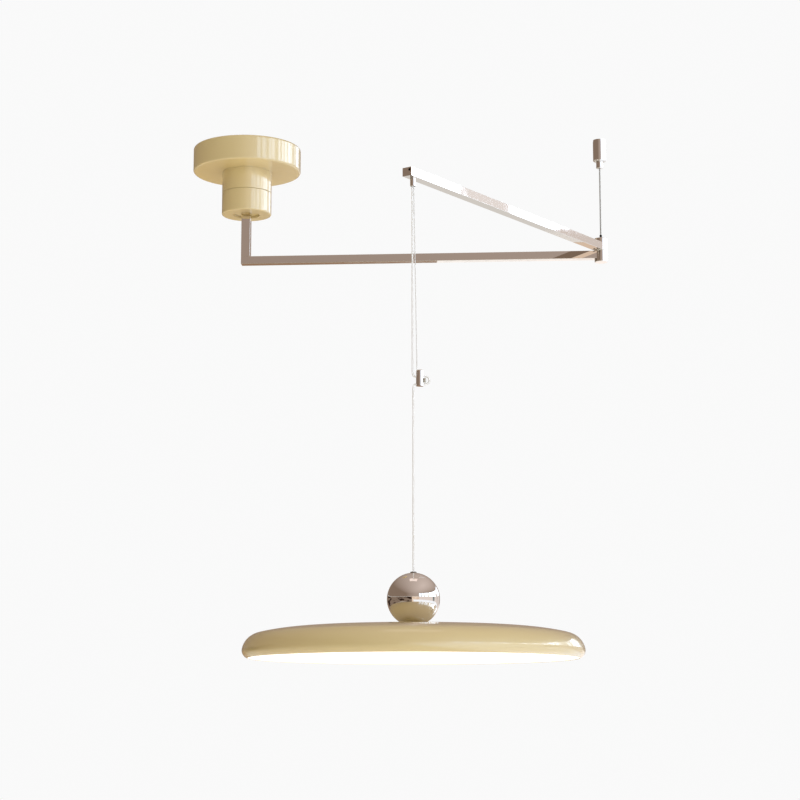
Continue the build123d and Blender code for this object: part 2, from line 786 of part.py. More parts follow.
gripper_cap_radius = gripper_radius - gripper_cap_inset
with BuildPart() as gripper_cap:
    with BuildSketch(Plane((*elbow, barrel_top))):
        Circle(gripper_cap_radius)
        Circle(gripper_screw_radius, mode=Mode.SUBTRACT)
    extrude(amount=gripper_cap_thickness)
    with BuildSketch(Plane((*elbow, barrel_top))):
        Circle(gripper_boss_radius)
        Circle(gripper_boss_bore_radius, mode=Mode.SUBTRACT)
    extrude(amount=-gripper_boss_height)
save(gripper_cap, "gripper_cap")

with BuildPart() as gripper_barrel:
    with BuildSketch(Plane((*elbow, barrel_bottom))):
        Circle(gripper_radius)
    extrude(amount=barrel_top - barrel_bottom)
    chamfer(gripper_barrel.edges().group_by(Axis.Z)[0], gripper_chamfer)
    with BuildSketch(Plane((*elbow, plunger_step))):
        Circle(gripper_boss_radius + thread_clearance)
    extrude(amount=barrel_top - plunger_step, mode=Mode.SUBTRACT)
    with BuildSketch(Plane((*elbow, barrel_bottom))):
        Circle(plunger_radius + sliding_clearance)
    extrude(amount=gripper_step_height, mode=Mode.SUBTRACT)
save(gripper_barrel, "gripper_barrel")

with BuildPart() as gripper_plunger:
    with BuildSketch(Plane((*elbow, plunger_bottom))):
        Circle(plunger_radius)
    extrude(amount=plunger_step - plunger_bottom)
    fillet(gripper_plunger.edges().group_by(Axis.Z)[0], plunger_tip_radius)
    with BuildSketch(Plane((*elbow, plunger_step))):
        Circle(plunger_collar_radius)
    extrude(amount=plunger_collar_height)
    with BuildSketch(Plane((*elbow, plunger_bottom))):
        Circle(wire_radius + plunger_bore_clearance)
    extrude(amount=plunger_top - plunger_bottom, mode=Mode.SUBTRACT)
    with BuildSketch(Plane((*elbow, plunger_top))):
        Circle(plunger_cage_radius)
    extrude(amount=-plunger_cage_depth, mode=Mode.SUBTRACT)
save(gripper_plunger, "gripper_plunger")

# Steel balls that grip the wire, resting on the floor of the plunger's cage
with BuildPart() as gripper_balls:
    with Locations((*elbow, plunger_top - plunger_cage_depth + ball_bearing_radius)):
        with PolarLocations(wire_radius + ball_bearing_radius + ball_bearing_gap, ball_bearing_count):
            Sphere(ball_bearing_radius)
save(gripper_balls, "gripper_balls")

gripper_spring = ring(spring_radius, spring_radius - spring_wall, plunger_top, boss_bottom, elbow)
save(gripper_spring, "gripper_spring")

# Adjuster: chromed barrel beside the cord, with two cross holes and a clamp screw
adjuster_centre = (pendant.X + adjuster_offset, pendant.Y)
hole_middle_z = (upper_hole_z + lower_hole_z) / 2
adjuster_side = Plane(origin=(*adjuster_centre, 0), x_dir=(0, 1, 0), z_dir=(1, 0, 0))
with BuildPart() as cord_adjuster:
    with BuildSketch(Plane((*adjuster_centre, adjuster_bottom))):
        Circle(adjuster_radius)
    extrude(amount=adjuster_height)
    chamfer(cord_adjuster.edges().group_by(Axis.Z)[-1], adjuster_chamfer)
    with BuildSketch(adjuster_side.offset(-2 * adjuster_radius)):
        with Locations((0, upper_hole_z), (0, lower_hole_z)):
            Circle(cord_radius + cord_clearance)
    extrude(amount=4 * adjuster_radius, mode=Mode.SUBTRACT)
    with BuildSketch(adjuster_side.offset(adjuster_radius)):
        with Locations((0, hole_middle_z)):
            Circle(clamp_shank_radius + running_clearance)
    extrude(amount=-clamp_shank_length, mode=Mode.SUBTRACT)
    with BuildSketch(Plane((pendant.X + hanger_seat_offset, pendant.Y, adjuster_top))):
        Circle(hanger_seat_radius)
    extrude(amount=-hanger_seat_depth, mode=Mode.SUBTRACT)
save(cord_adjuster, "cord_adjuster")

with BuildPart() as clamp_screw:
    with BuildSketch(adjuster_side.offset(adjuster_radius)):
        with Locations((0, hole_middle_z)):
            Circle(clamp_knob_radius)
    extrude(amount=clamp_knob_length)
    chamfer(clamp_screw.edges().group_by(Axis.X)[-1], nipple_chamfer)
    with BuildSketch(adjuster_side.offset(adjuster_radius)):
        with Locations((0, hole_middle_z)):
            Circle(clamp_shank_radius)
    extrude(amount=-clamp_shank_length)
save(clamp_screw, "clamp_screw")

# Cord: down to the upper hole, round the loop, back through the lower hole and on to the lamp
with BuildLine() as upper_route:
    FilletPolyline(
        (pendant.X + upper_cord_offset, pendant.Y, cord_top),
        (pendant.X + upper_cord_offset, pendant.Y, upper_hole_z),
        (*adjuster_centre, upper_hole_z),
        radius=cord_bend,
    )
cord("upper_cord", upper_route, cord_radius)

loop_x = pendant.X + adjuster_offset + adjuster_radius + loop_straight
with BuildLine() as loop_route:
    outward = Line((*adjuster_centre, upper_hole_z), (loop_x, pendant.Y, upper_hole_z))
    turn = TangentArc(outward @ 1, (loop_x, pendant.Y, lower_hole_z), tangent=outward % 1)
    Line(turn @ 1, (*adjuster_centre, lower_hole_z))
cord("cord_loop", loop_route, cord_radius)

crimp_top = stem_top - lead_gap
cord_end_z = crimp_top - crimp_length + cord_radius
with BuildLine() as lower_route:
    FilletPolyline(
        (*adjuster_centre, lower_hole_z),
        (*pendant_centre, lower_hole_z),
        (*pendant_centre, cord_end_z),
        radius=cord_bend,
    )
cord("lower_cord", lower_route, cord_radius)

with BuildLine() as hanger_route:
    Line(
        (pendant.X + hanger_offset, pendant.Y, cord_top),
        (pendant.X + hanger_seat_offset, pendant.Y, adjuster_top - hanger_seat_depth + hanger_radius),
    )
cord("hanger_wire", hanger_route, hanger_radius)

# Ball: hollow chromed shell on its seat, bushed at the top
bush_hole_radius = bush_shank_radius + thread_clearance
with BuildPart() as ball_shell:
    with Locations((*pendant_centre, ball_centre_z)):
        Sphere(ball_radius)
        Sphere(ball_radius - ball_wall, mode=Mode.SUBTRACT)
    with BuildSketch(Plane((*pendant_centre, ball_centre_z))):
        Circle(bush_hole_radius)
    extrude(amount=ball_radius, mode=Mode.SUBTRACT)
    with BuildSketch(Plane((*pendant_centre, ball_centre_z))):
        Circle(stem_radius + hole_clearance)
    extrude(amount=-ball_radius, mode=Mode.SUBTRACT)
save(ball_shell, "ball_shell")

bush_seat_z = ball_centre_z + sqrt(ball_radius**2 - bush_hole_radius**2)
with BuildPart() as ball_bush:
    with BuildSketch(Plane((*pendant_centre, bush_seat_z))):
        Circle(bush_radius)
    extrude(amount=bush_height)
    fillet(ball_bush.edges().group_by(Axis.Z)[-1], bush_height / 2)
    with BuildSketch(Plane((*pendant_centre, bush_seat_z))):
        Circle(bush_shank_radius)
    extrude(amount=bush_height - bush_length)
    with BuildSketch(Plane((*pendant_centre, bush_seat_z))):
        Circle(cord_radius + cord_clearance)
    extrude(amount=bush_length, both=True, mode=Mode.SUBTRACT)
save(ball_bush, "ball_bush")

# Stem with its cap and the crimp that holds the cord
stem = ring(stem_radius, stem_bore_radius, stem_bottom, stem_top, pendant_centre)
save(stem, "stem")

with BuildPart() as stem_cap:
    with BuildSketch(Plane((*pendant_centre, stem_top))):
        Circle(stem_cap_radius)
        Circle(cord_radius + cord_clearance, mode=Mode.SUBTRACT)
    extrude(amount=stem_cap_top)
    chamfer(stem_cap.edges().group_by(Axis.Z)[-1].sort_by(SortBy.RADIUS)[-1], nipple_chamfer)
    with BuildSketch(Plane((*pendant_centre, stem_top))):
        Circle(stem_cap_radius)
        Circle(stem_radius + thread_clearance, mode=Mode.SUBTRACT)
    extrude(amount=stem_cap_top - stem_cap_height)
save(stem_cap, "stem_cap")

cord_crimp = ring(
    crimp_radius, cord_radius + thread_clearance, crimp_top - crimp_length, crimp_top, pendant_centre
)
save(cord_crimp, "cord_crimp")

ball_inner = ball_radius - ball_wall
nut_corner = stem_nut_width / 2 / cos(pi / 6)
ball_nut_bottom = ball_centre_z - sqrt(ball_inner**2 - nut_corner**2) + thread_clearance
stem_nut_bore = stem_radius + thread_clearance
ball_nut = hex_nut(
    stem_nut_width, stem_nut_bore, ball_nut_bottom, ball_nut_bottom + stem_nut_thickness, pendant_centre
)
save(ball_nut, "ball_nut")

ball_seat = ring(
    seat_outer_radius, seat_inner_radius, dome_top, seat_top - thread_clearance, pendant_centre
)
save(ball_seat, "ball_seat")

# Saucer shade: crown, shoulder and rolled rim as tangent arcs, with the sheet's thickness inside them
crown = (shade_radius - crown_inset, dome_top - crown_drop)
shoulder = (shade_radius - shoulder_inset, dome_top - shoulder_drop)
widest = (shade_radius - rim_bulge, widest_z)
lip = (shade_radius - lip_inset, lip_bottom)
with BuildPart() as shade_shell:
    with BuildSketch(pendant_section):
        with BuildLine():
            crown_arc = TangentArc((0, dome_top), crown, tangent=(1, 0))
            shoulder_arc = TangentArc(crown, shoulder, tangent=crown_arc % 1)
            rim_arc = TangentArc(shoulder, widest, tangent=shoulder_arc % 1)
            TangentArc(widest, lip, tangent=rim_arc % 1)
            offset(amount=shade_wall, side=Side.RIGHT)
        make_face()
    revolve(axis=pendant_axis)
    with BuildSketch(Plane((*pendant_centre, dome_top))):
        Circle(stem_radius + hole_clearance)
    extrude(amount=2 * shade_wall, both=True, mode=Mode.SUBTRACT)
save(shade_shell, "shade_shell")

# LED tray with its boss against the dome, the board, the chips and the tray's nut
tray_radius = shade_radius - tray_inset
boss_sagitta = crown_drop * (tray_boss_radius / crown[0]) ** 2
boss_top = dome_top - shade_wall - boss_sagitta - thread_clearance
with BuildPart() as led_tray:
    with BuildSketch(Plane((*pendant_centre, tray_bottom))):
        Circle(tray_radius)
    extrude(amount=tray_thickness)
    with BuildSketch(Plane((*pendant_centre, tray_top))):
        Circle(tray_boss_radius)
    extrude(amount=boss_top - tray_top)
    with BuildSketch(Plane((*pendant_centre, tray_bottom))):
        Circle(stem_radius + hole_clearance)
    extrude(amount=boss_top - tray_bottom, mode=Mode.SUBTRACT)
save(led_tray, "led_tray")

board_bottom = tray_bottom - board_thickness
board_radius = tray_radius - board_margin
led_board = ring(board_radius, board_radius - board_width, board_bottom, tray_bottom, pendant_centre)
save(led_board, "led_board")

outer_chip_ring = board_radius - chip_ring_margin
with BuildPart() as led_chips:
    with BuildSketch(Plane((*pendant_centre, board_bottom))):
        for place, count in enumerate(chip_ring_counts):
            with PolarLocations(outer_chip_ring - place * chip_ring_pitch, count):
                Rectangle(chip_size, chip_size)
    extrude(amount=-chip_height)
save(led_chips, "led_chips")

tray_nut = hex_nut(stem_nut_width, stem_nut_bore, tray_nut_bottom, tray_bottom, pendant_centre)
save(tray_nut, "tray_nut")

# Diffuser on its standoffs, just inside the lip
diffuser = ring(
    shade_radius - lip_inset - diffuser_clearance, 0, diffuser_bottom, diffuser_top, pendant_centre
)
save(diffuser, "diffuser")

with BuildPart() as diffuser_standoffs:
    with BuildSketch(Plane((*pendant_centre, diffuser_top))):
        with PolarLocations(tray_radius - board_margin / 2, standoff_count):
            Circle(standoff_radius)
    extrude(amount=tray_bottom - diffuser_top)
save(diffuser_standoffs, "diffuser_standoffs")

print("pendant axis", round(pendant.X, 3), round(pendant.Y, 3), "reach", round(hypot(*pendant_centre), 1))
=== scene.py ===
from math import pi, radians

import bpy
import numpy as np
from bpy.props import FloatProperty, FloatVectorProperty, IntProperty, PointerProperty
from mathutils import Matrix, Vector


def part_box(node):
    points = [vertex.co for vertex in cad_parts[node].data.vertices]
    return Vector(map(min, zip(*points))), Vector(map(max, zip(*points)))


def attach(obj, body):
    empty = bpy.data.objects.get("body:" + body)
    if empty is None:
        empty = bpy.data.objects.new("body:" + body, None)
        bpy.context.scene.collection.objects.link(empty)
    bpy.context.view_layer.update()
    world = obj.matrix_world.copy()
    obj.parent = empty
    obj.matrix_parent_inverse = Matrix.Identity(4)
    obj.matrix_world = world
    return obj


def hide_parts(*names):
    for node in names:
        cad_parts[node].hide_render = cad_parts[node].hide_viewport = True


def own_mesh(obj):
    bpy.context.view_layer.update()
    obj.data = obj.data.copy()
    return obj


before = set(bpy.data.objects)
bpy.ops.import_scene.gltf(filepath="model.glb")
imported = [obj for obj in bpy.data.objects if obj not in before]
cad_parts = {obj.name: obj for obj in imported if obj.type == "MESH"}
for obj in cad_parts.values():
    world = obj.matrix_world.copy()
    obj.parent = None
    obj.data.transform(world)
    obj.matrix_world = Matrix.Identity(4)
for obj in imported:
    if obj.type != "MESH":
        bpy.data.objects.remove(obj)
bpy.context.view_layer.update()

bl_info = {
    "name": "Swing Arm Pendant Light",
    "version": (1, 0, 0),
    "blender": (4, 5, 0),
    "location": "3D View > Sidebar > Pendant",
    "description": "Dresses the folding two-arm pendant: finishes, cord, wires, lamp and studio",
    "category": "Object",
}

MM = 0.001

# Plan positions of the two upright axes that the cord and the wires follow, in metres
PENDANT_AXIS = (0.29311, -0.436425)
ELBOW_AXIS = (0.5616, 0.0)

# Faces that meet at a larger angle than this keep a sharp edge
SHARP_EDGE = radians(35)
# Points round the straight cord, a wire, the spring's wire, the diffuser, and each rib of the knob
CORD_SIDES = 28
WIRE_SIDES = 48
SPRING_SIDES = 12
DISC_SIDES = 180
RIB_SIDES = 6
# Points along each part of a route, for a bent cord, the straight cord and a wire
CORD_STEPS = 24
DROP_STEPS = 60
WIRE_STEPS = 240
# Points along one turn of the spring
TURN_STEPS = 40
# Share of the hollows between a wire's strands that its coat leaves
HOLLOWS_LEFT = 0.1

# Width of the camera's sensor, in millimetres
SENSOR = 36.0
# Angle over which each soft lamp shines
LAMP_SPREAD = radians(120)
# Half the side of the floor, in metres
FLOOR_REACH = 7.0
# Distances from the light, in metres, over which the floor turns into the white backdrop
FLOOR_FADE = (0.8, 4.5)
# How far the floor is lifted towards white for the camera
FLOOR_LIFT = 0.42
# Radius of the round wall of reflection cards, and heights of its foot, the low walls' top, the
# sill and its head, in metres; above the low walls the backdrop shows as a bright line
WALL = 20.0
WALL_FOOT, WALL_TOP, WALL_SILL, WALL_HEAD = -9.0, 2.0, 2.2, 7.0
# Glow of the cards that the metal reflects, beside the studio's light
CARD_LEVEL = 0.88

# CAD nodes by finish
LACQUERED = ("canopy_cup", "neck", "swivel_collar", "post_flange", "ball_seat", "shade_shell")
CHROMED = (
    "arm_post", "first_arm_tube", "lower_knuckle", "elbow_cap", "gripper_cap", "gripper_barrel",
    "gripper_plunger", "upper_knuckle", "second_arm_tube", "arm_end_cap", "cord_nipple",
    "cord_adjuster", "ball_shell",
)
BLACKENED = ("first_tenon_screw", "second_tenon_screw", "end_cap_screw", "wire_ferrule")
ZINC_PLATED = (
    "ceiling_plate", "canopy_nut", "neck_nut", "spindle", "swivel_locknut", "wave_washer",
    "swivel_hub", "collar_screws", "elbow_pivot", "gripper_balls", "stem", "ball_nut", "tray_nut",
)
BRASS = ("nipple_ring", "stem_cap", "cord_crimp")
NYLON = ("thrust_washer", "terminal_block", "elbow_washer", "diffuser_standoffs")


def linear(code):
    """Linear red, green and blue of an sRGB hex colour, by the standard curve."""
    share = np.array([int(code[i:i + 2], 16) for i in (1, 3, 5)]) / 255
    return tuple(np.where(share <= 0.04045, share / 12.92, ((share + 0.055) / 1.055) ** 2.4))


def add_node(tree, kind, inputs=(), **settings):
    """Add a node, set its options, and set or link its inputs."""
    node = tree.nodes.new(kind)
    for name, value in settings.items():
        setattr(node, name, value)
    for name, value in dict(inputs).items():
        if isinstance(value, bpy.types.NodeSocket):
            tree.links.new(value, node.inputs[name])
        else:
            node.inputs[name].default_value = value
    return node


def start_finish(name, constants):
    """A new material: its tree, its shader with the constant values set, and Object coordinates."""
    finish = bpy.data.materials.new(name)
    finish.use_nodes = True
    tree = finish.node_tree
    shader = tree.nodes["Principled BSDF"]
    for socket, value in constants.items():
        shader.inputs[socket].default_value = value
    place = add_node(tree, "ShaderNodeTexCoord").outputs["Object"]
    return finish, tree, shader, place


def rgba(colour):
    """A colour with full opacity, as the sockets take it."""
    return (*colour, 1.0)


def gloss_lacquer(tones):
    """Cream lacquer sprayed and baked on spun metal: a warm buff coat under clear gloss. The eye
    sees sharp but slightly wavy reflections, from orange peel 3 mm apart and slow waves left by the
    spinning, a broad pale sheen towards the light, and a faint drift of the colour over a hand's
    breadth."""
    finish, tree, shader, place = start_finish("Cream gloss lacquer", {
        "IOR": 1.6, "Specular IOR Level": 1.0,
        "Coat Weight": 1.0, "Coat Roughness": 0.08, "Coat IOR": 1.8,
    })
    drift = add_node(tree, "ShaderNodeTexNoise", {
        "Vector": place, "Scale": 1 / (90 * MM), "Detail": 2.0,
    })
    tint = add_node(tree, "ShaderNodeMix", {
        "Factor": drift.outputs["Fac"], 6: rgba(tones.lacquer), 7: rgba(tones.lacquer_deep),
    }, data_type="RGBA")
    tree.links.new(tint.outputs[2], shader.inputs["Base Color"])
    dust = add_node(tree, "ShaderNodeTexNoise", {
        "Vector": place, "Scale": 1 / (25 * MM), "Detail": 4.0,
    })
    haze = add_node(tree, "ShaderNodeMapRange", {
        "Value": dust.outputs["Fac"], "From Min": 0.3, "From Max": 0.7,
        "To Min": 0.38, "To Max": 0.48,
    })
    tree.links.new(haze.outputs["Result"], shader.inputs["Roughness"])
    wave = add_node(tree, "ShaderNodeTexNoise", {
        "Vector": place, "Scale": 1 / (28 * MM), "Detail": 1.0,
    })
    peel = add_node(tree, "ShaderNodeTexNoise", {
        "Vector": place, "Scale": 1 / (3 * MM), "Detail": 1.0,
    })
    slow = add_node(tree, "ShaderNodeBump", {
        "Height": wave.outputs["Fac"], "Strength": 1.0, "Distance": 0.16 * MM,
    })
    fine = add_node(tree, "ShaderNodeBump", {
        "Height": peel.outputs["Fac"], "Strength": 1.0, "Distance": 0.012 * MM,
        "Normal": slow.outputs["Normal"],
    })
    tree.links.new(fine.outputs["Normal"], shader.inputs["Normal"])
    tree.links.new(fine.outputs["Normal"], shader.inputs["Coat Normal"])
    return finish


def polished_chrome(tones):
    """Chrome plated on polished steel: a mirror, very slightly wavy from the buffing wheel, with a
    thin uneven haze from handling that shows only where it catches a light."""
    finish, tree, shader, place = start_finish("Polished chrome plate", {
        "Base Color": rgba(tones.chrome), "Metallic": 1.0,
    })
    touch = add_node(tree, "ShaderNodeTexNoise", {
        "Vector": place, "Scale": 1 / (18 * MM), "Detail": 5.0,
    })
    haze = add_node(tree, "ShaderNodeMapRange", {
        "Value": touch.outputs["Fac"], "From Min": 0.35, "From Max": 0.75,
        "To Min": 0.015, "To Max": 0.04,
    })
    tree.links.new(haze.outputs["Result"], shader.inputs["Roughness"])
    buffing = add_node(tree, "ShaderNodeTexNoise", {
        "Vector": place, "Scale": 1 / (12 * MM), "Detail": 1.0,
    })
    bump = add_node(tree, "ShaderNodeBump", {
        "Height": buffing.outputs["Fac"], "Strength": 1.0, "Distance": 0.006 * MM,
    })
    tree.links.new(bump.outputs["Normal"], shader.inputs["Normal"])
    return finish


def worked_metal(name, colour, worn, roughness, grain):
    """Metal as it comes from the press or the lathe, plated, blackened or bare. The eye sees tool
    marks as streaks, one grain wide in millimetres, six long and drawn coarser than real so that
    they show, and patches where the surface is a little brighter and smoother."""
    finish, tree, shader, place = start_finish(name, {"Metallic": 1.0})
    streaks = add_node(tree, "ShaderNodeMapping", {
        "Vector": place, "Scale": (1 / (grain * MM), 1 / (6 * grain * MM), 1 / (grain * MM)),
    })
    marks = add_node(tree, "ShaderNodeTexNoise", {
        "Vector": streaks.outputs["Vector"], "Scale": 1.0, "Detail": 3.0,
    })
    patches = add_node(tree, "ShaderNodeTexNoise", {
        "Vector": place, "Scale": 1 / (14 * MM), "Detail": 3.0,
    })
    tint = add_node(tree, "ShaderNodeMix", {
        "Factor": patches.outputs["Fac"], 6: rgba(linear(colour)), 7: rgba(linear(worn)),
    }, data_type="RGBA")
    tree.links.new(tint.outputs[2], shader.inputs["Base Color"])
    polish = add_node(tree, "ShaderNodeMapRange", {
        "Value": patches.outputs["Fac"], "From Min": 0.3, "From Max": 0.7,
        "To Min": roughness * 1.2, "To Max": roughness * 0.8,
    })
    tree.links.new(polish.outputs["Result"], shader.inputs["Roughness"])
    bump = add_node(tree, "ShaderNodeBump", {
        "Height": marks.outputs["Fac"], "Strength": 0.6, "Distance": 0.02 * MM,
    })
    tree.links.new(bump.outputs["Normal"], shader.inputs["Normal"])
    return finish


def moulded_plastic(name, colour, shaded, roughness, texture, glow=0.0):
    """Plastic from a mould or an extruder, or a printed coat. The eye sees an even colour with a
    faint cloud in it and a matte texture, whose spacing is given in millimetres and drawn coarser
    than real so that it shows."""
    finish, tree, shader, place = start_finish(name, {
        "IOR": 1.5, "Emission Color": rgba(linear(colour)), "Emission Strength": glow,
    })
    cloud = add_node(tree, "ShaderNodeTexNoise", {
        "Vector": place, "Scale": 1 / (20 * MM), "Detail": 3.0,
    })
    tint = add_node(tree, "ShaderNodeMix", {
        "Factor": cloud.outputs["Fac"], 6: rgba(linear(colour)), 7: rgba(linear(shaded)),
    }, data_type="RGBA")
    tree.links.new(tint.outputs[2], shader.inputs["Base Color"])
    grain = add_node(tree, "ShaderNodeTexNoise", {
        "Vector": place, "Scale": 1 / (texture * MM), "Detail": 2.0,
    })
    matte = add_node(tree, "ShaderNodeMapRange", {
        "Value": grain.outputs["Fac"], "From Min": 0.3, "From Max": 0.7,
        "To Min": roughness * 0.85, "To Max": roughness * 1.15,
    })
    tree.links.new(matte.outputs["Result"], shader.inputs["Roughness"])
    bump = add_node(tree, "ShaderNodeBump", {
        "Height": grain.outputs["Fac"], "Strength": 0.5, "Distance": 0.02 * MM,
    })
    tree.links.new(bump.outputs["Normal"], shader.inputs["Normal"])
    return finish


def closed_cell_foam():
    """Black closed-cell foam cut from sheet: dull, with open pores about 1.2 mm across on its cut
    faces, each painted darker towards its middle: painted shade in its hollow."""
    finish, tree, shader, place = start_finish("Closed-cell foam", {"Roughness": 0.95})
    pores = add_node(tree, "ShaderNodeTexVoronoi", {"Vector": place, "Scale": 1 / (1.2 * MM)})
    # Painted shade: each pore is painted darker towards its middle, where its pit is deepest
    tint = add_node(tree, "ShaderNodeMix", {
        "Factor": pores.outputs["Distance"], 6: rgba(linear("#1F2022")), 7: rgba(linear("#3A3B3D")),
    }, data_type="RGBA")
    tree.links.new(tint.outputs[2], shader.inputs["Base Color"])
    bump = add_node(tree, "ShaderNodeBump", {
        "Height": pores.outputs["Distance"], "Strength": 0.8, "Distance": 0.3 * MM,
    })
    tree.links.new(bump.outputs["Normal"], shader.inputs["Normal"])
    return finish


def lit_opal(tones, centre):
    """Opal acrylic sheet lit from behind: an even white glow, a touch warmer towards the rim and
    over the gaps between the three rings of lamps 40 mm apart, under a satin surface."""
    finish, tree, shader, place = start_finish("Lit opal acrylic", {
        "Base Color": rgba(tones.opal), "IOR": 1.49, "Emission Strength": tones.glow,
    })
    out = add_node(tree, "ShaderNodeMapping", {"Vector": place, "Location": [-c for c in centre]})
    radius = add_node(tree, "ShaderNodeVectorMath", {
        0: out.outputs["Vector"],
    }, operation="LENGTH")
    rings = add_node(tree, "ShaderNodeMath", {
        0: radius.outputs["Value"], 1: 2 * pi / (40 * MM),
    }, operation="MULTIPLY")
    ripple = add_node(tree, "ShaderNodeMath", {0: rings.outputs[0]}, operation="COSINE")
    faint = add_node(tree, "ShaderNodeMath", {
        0: ripple.outputs[0], 1: 0.06,
    }, operation="MULTIPLY")
    fade = add_node(tree, "ShaderNodeMapRange", {
        "Value": radius.outputs["Value"], "From Min": 120 * MM, "From Max": 217 * MM,
        "To Min": 0.1, "To Max": 0.6,
    })
    warmth = add_node(tree, "ShaderNodeMath", {
        0: fade.outputs["Result"], 1: faint.outputs[0],
    }, operation="ADD")
    light = add_node(tree, "ShaderNodeMix", {
        "Factor": warmth.outputs[0], 6: rgba(linear("#FFFFFF")), 7: rgba(tones.warm_light),
    }, data_type="RGBA")
    tree.links.new(light.outputs[2], shader.inputs["Emission Color"])
    satin = add_node(tree, "ShaderNodeTexNoise", {
        "Vector": place, "Scale": 1 / (1.5 * MM), "Detail": 2.0,
    })
    matte = add_node(tree, "ShaderNodeMapRange", {
        "Value": satin.outputs["Fac"], "From Min": 0.3, "From Max": 0.7,
        "To Min": 0.4, "To Max": 0.5,
    })
    tree.links.new(matte.outputs["Result"], shader.inputs["Roughness"])
    return finish


def dress(finish, *nodes):
    """Put one finish in the material slot of each CAD node."""
    for node in nodes:
        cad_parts[node].material_slots[0].material = finish


def surface(name, grid, finish):
    """A closed mesh from a grid of points: rows run along the piece, columns go round it and join
    up, and the first and last rows are capped. Faces are turned outward by the sign of the volume
    that they enclose."""
    rows, columns = grid.shape[:2]
    index = np.arange(rows * columns).reshape(rows, columns)
    beside = np.roll(index, -1, axis=1)
    quads = np.stack([index[:-1], beside[:-1], beside[1:], index[1:]], axis=-1).reshape(-1, 4)
    points = grid.reshape(-1, 3)
    corner = (points - points.mean(axis=0))[quads]
    volume = np.einsum("ij,ij->", corner[:, 0], np.cross(corner[:, 1], corner[:, 2]))
    volume += np.einsum("ij,ij->", corner[:, 0], np.cross(corner[:, 2], corner[:, 3]))
    caps = np.stack([index[0, ::-1], index[-1]])
    if volume < 0:
        quads, caps = quads[:, ::-1], caps[:, ::-1]
    mesh = bpy.data.meshes.new(name)
    mesh.from_pydata(points.tolist(), [], [*quads.tolist(), *caps.tolist()])
    mesh.validate()
    mesh.shade_smooth()
    mesh.set_sharp_from_angle(angle=SHARP_EDGE)
    mesh.materials.append(finish)
    piece = bpy.data.objects.new(name, mesh)
    bpy.context.scene.collection.objects.link(piece)
    return piece


def turned(profile, centre, axis, sides, ribs=0):
    """A profile turned about an axis: each row of it gives a radius, a place along the axis and how
    deep the ribs cut there, in millimetres, and the radius is the row's own less half the depth
    times 1 + cos(ribs x angle)."""
    radius, along, depth = np.array(profile).T[:, :, None] * MM
    angle = np.linspace(0, 2 * pi, sides, endpoint=False)[None, :]
    reach = radius - depth / 2 * (1 + np.cos(ribs * angle))
    grid = np.empty((len(profile), sides, 3))
    grid[..., axis] = along + centre[axis]
    grid[..., axis - 2] = reach * np.cos(angle) + centre[axis - 2]
    grid[..., axis - 1] = reach * np.sin(angle) + centre[axis - 1]
    return grid


def on_axis(axis, places):
    """Points in metres, from distances along X from an upright axis and heights, both in
    millimetres."""
    places = np.array(places) * MM
    return np.column_stack([places[:, 0] + axis[0], np.full(len(places), axis[1]), places[:, 1]])


def route_curve(name, points, steps):
    """A curve whose one NURBS spline has the route's points as its control points, and steps points
    along each of its parts."""
    curve = bpy.data.curves.new(name, "CURVE")
    curve.dimensions = "3D"
    curve.resolution_u = steps
    spline = curve.splines.new("NURBS")
    spline.points.add(len(points) - 1)
    spline.points.foreach_set("co", np.column_stack([points, np.ones(len(points))]).ravel())
    spline.order_u = 3
    spline.use_endpoint_u = True
    return curve


def route_line(curve):
    """The points along a route's curve, in order."""
    carrier = bpy.data.objects.new(curve.name, curve)
    line = bpy.data.meshes.new_from_object(carrier)
    points = np.empty(len(line.vertices) * 3)
    line.vertices.foreach_get("co", points)
    bpy.data.objects.remove(carrier)
    bpy.data.meshes.remove(line)
    bpy.data.curves.remove(curve)
    return points.reshape(-1, 3)


def sheathed_cord(name, points, diameter, finish):
    """A round cord: the route's NURBS curve, thickened."""
    curve = route_curve(name, points, CORD_STEPS)
    curve.bevel_depth = diameter / 2
    curve.bevel_resolution = 6
    curve.use_fill_caps = True
    curve.materials.append(finish)
    cord = bpy.data.objects.new(name, curve)
    bpy.context.scene.collection.objects.link(cord)
    return cord


def sweep(path, profile):
    """A profile carried along a path that lies in a plane of constant Y: each point is the path's
    own, plus the profile's first value across the path and its second value along Y."""
    ahead = np.gradient(path, axis=0)
    ahead /= np.linalg.norm(ahead, axis=1, keepdims=True)
    side = np.array((0.0, 1.0, 0.0))
    across = np.cross(side, ahead)
    return path[:, None] + across[:, None] * profile[..., :1] + side * profile[..., 1:]


def round_profile(path, radius, sides):
    """A circle at each point of a path."""
    angle = np.linspace(0, 2 * pi, sides, endpoint=False)
    circle = radius * np.column_stack([np.cos(angle), np.sin(angle)])
    return np.broadcast_to(circle, (len(path), sides, 2))


def coated_profile(path, radius, lay, sides):
    """Six round strands laid round a core under a coat, at each point of a path. A strand has a
    third of the wire's radius, so at an angle a from a strand's middle the outline is at
    2/3 cos a + sqrt(1/9 - 4/9 sin2 a) of it. The coat leaves a share of the hollows between the
    strands, and the outline turns once in each length of lay."""
    run = np.linalg.norm(np.diff(path, axis=0, prepend=path[:1]), axis=1).cumsum()
    angle = np.linspace(0, 2 * pi, sides, endpoint=False)
    from_strand = (angle[None, :] - 2 * pi * run[:, None] / lay + pi / 6) % (pi / 3) - pi / 6
    hollow = np.clip(1 - 4 * np.sin(from_strand) ** 2, 0, None)
    strands = radius / 3 * (2 * np.cos(from_strand) + np.sqrt(hollow))
    reach = radius - (radius - strands) * HOLLOWS_LEFT
    return reach[..., None] * np.stack([np.cos(angle), np.sin(angle)], axis=-1)


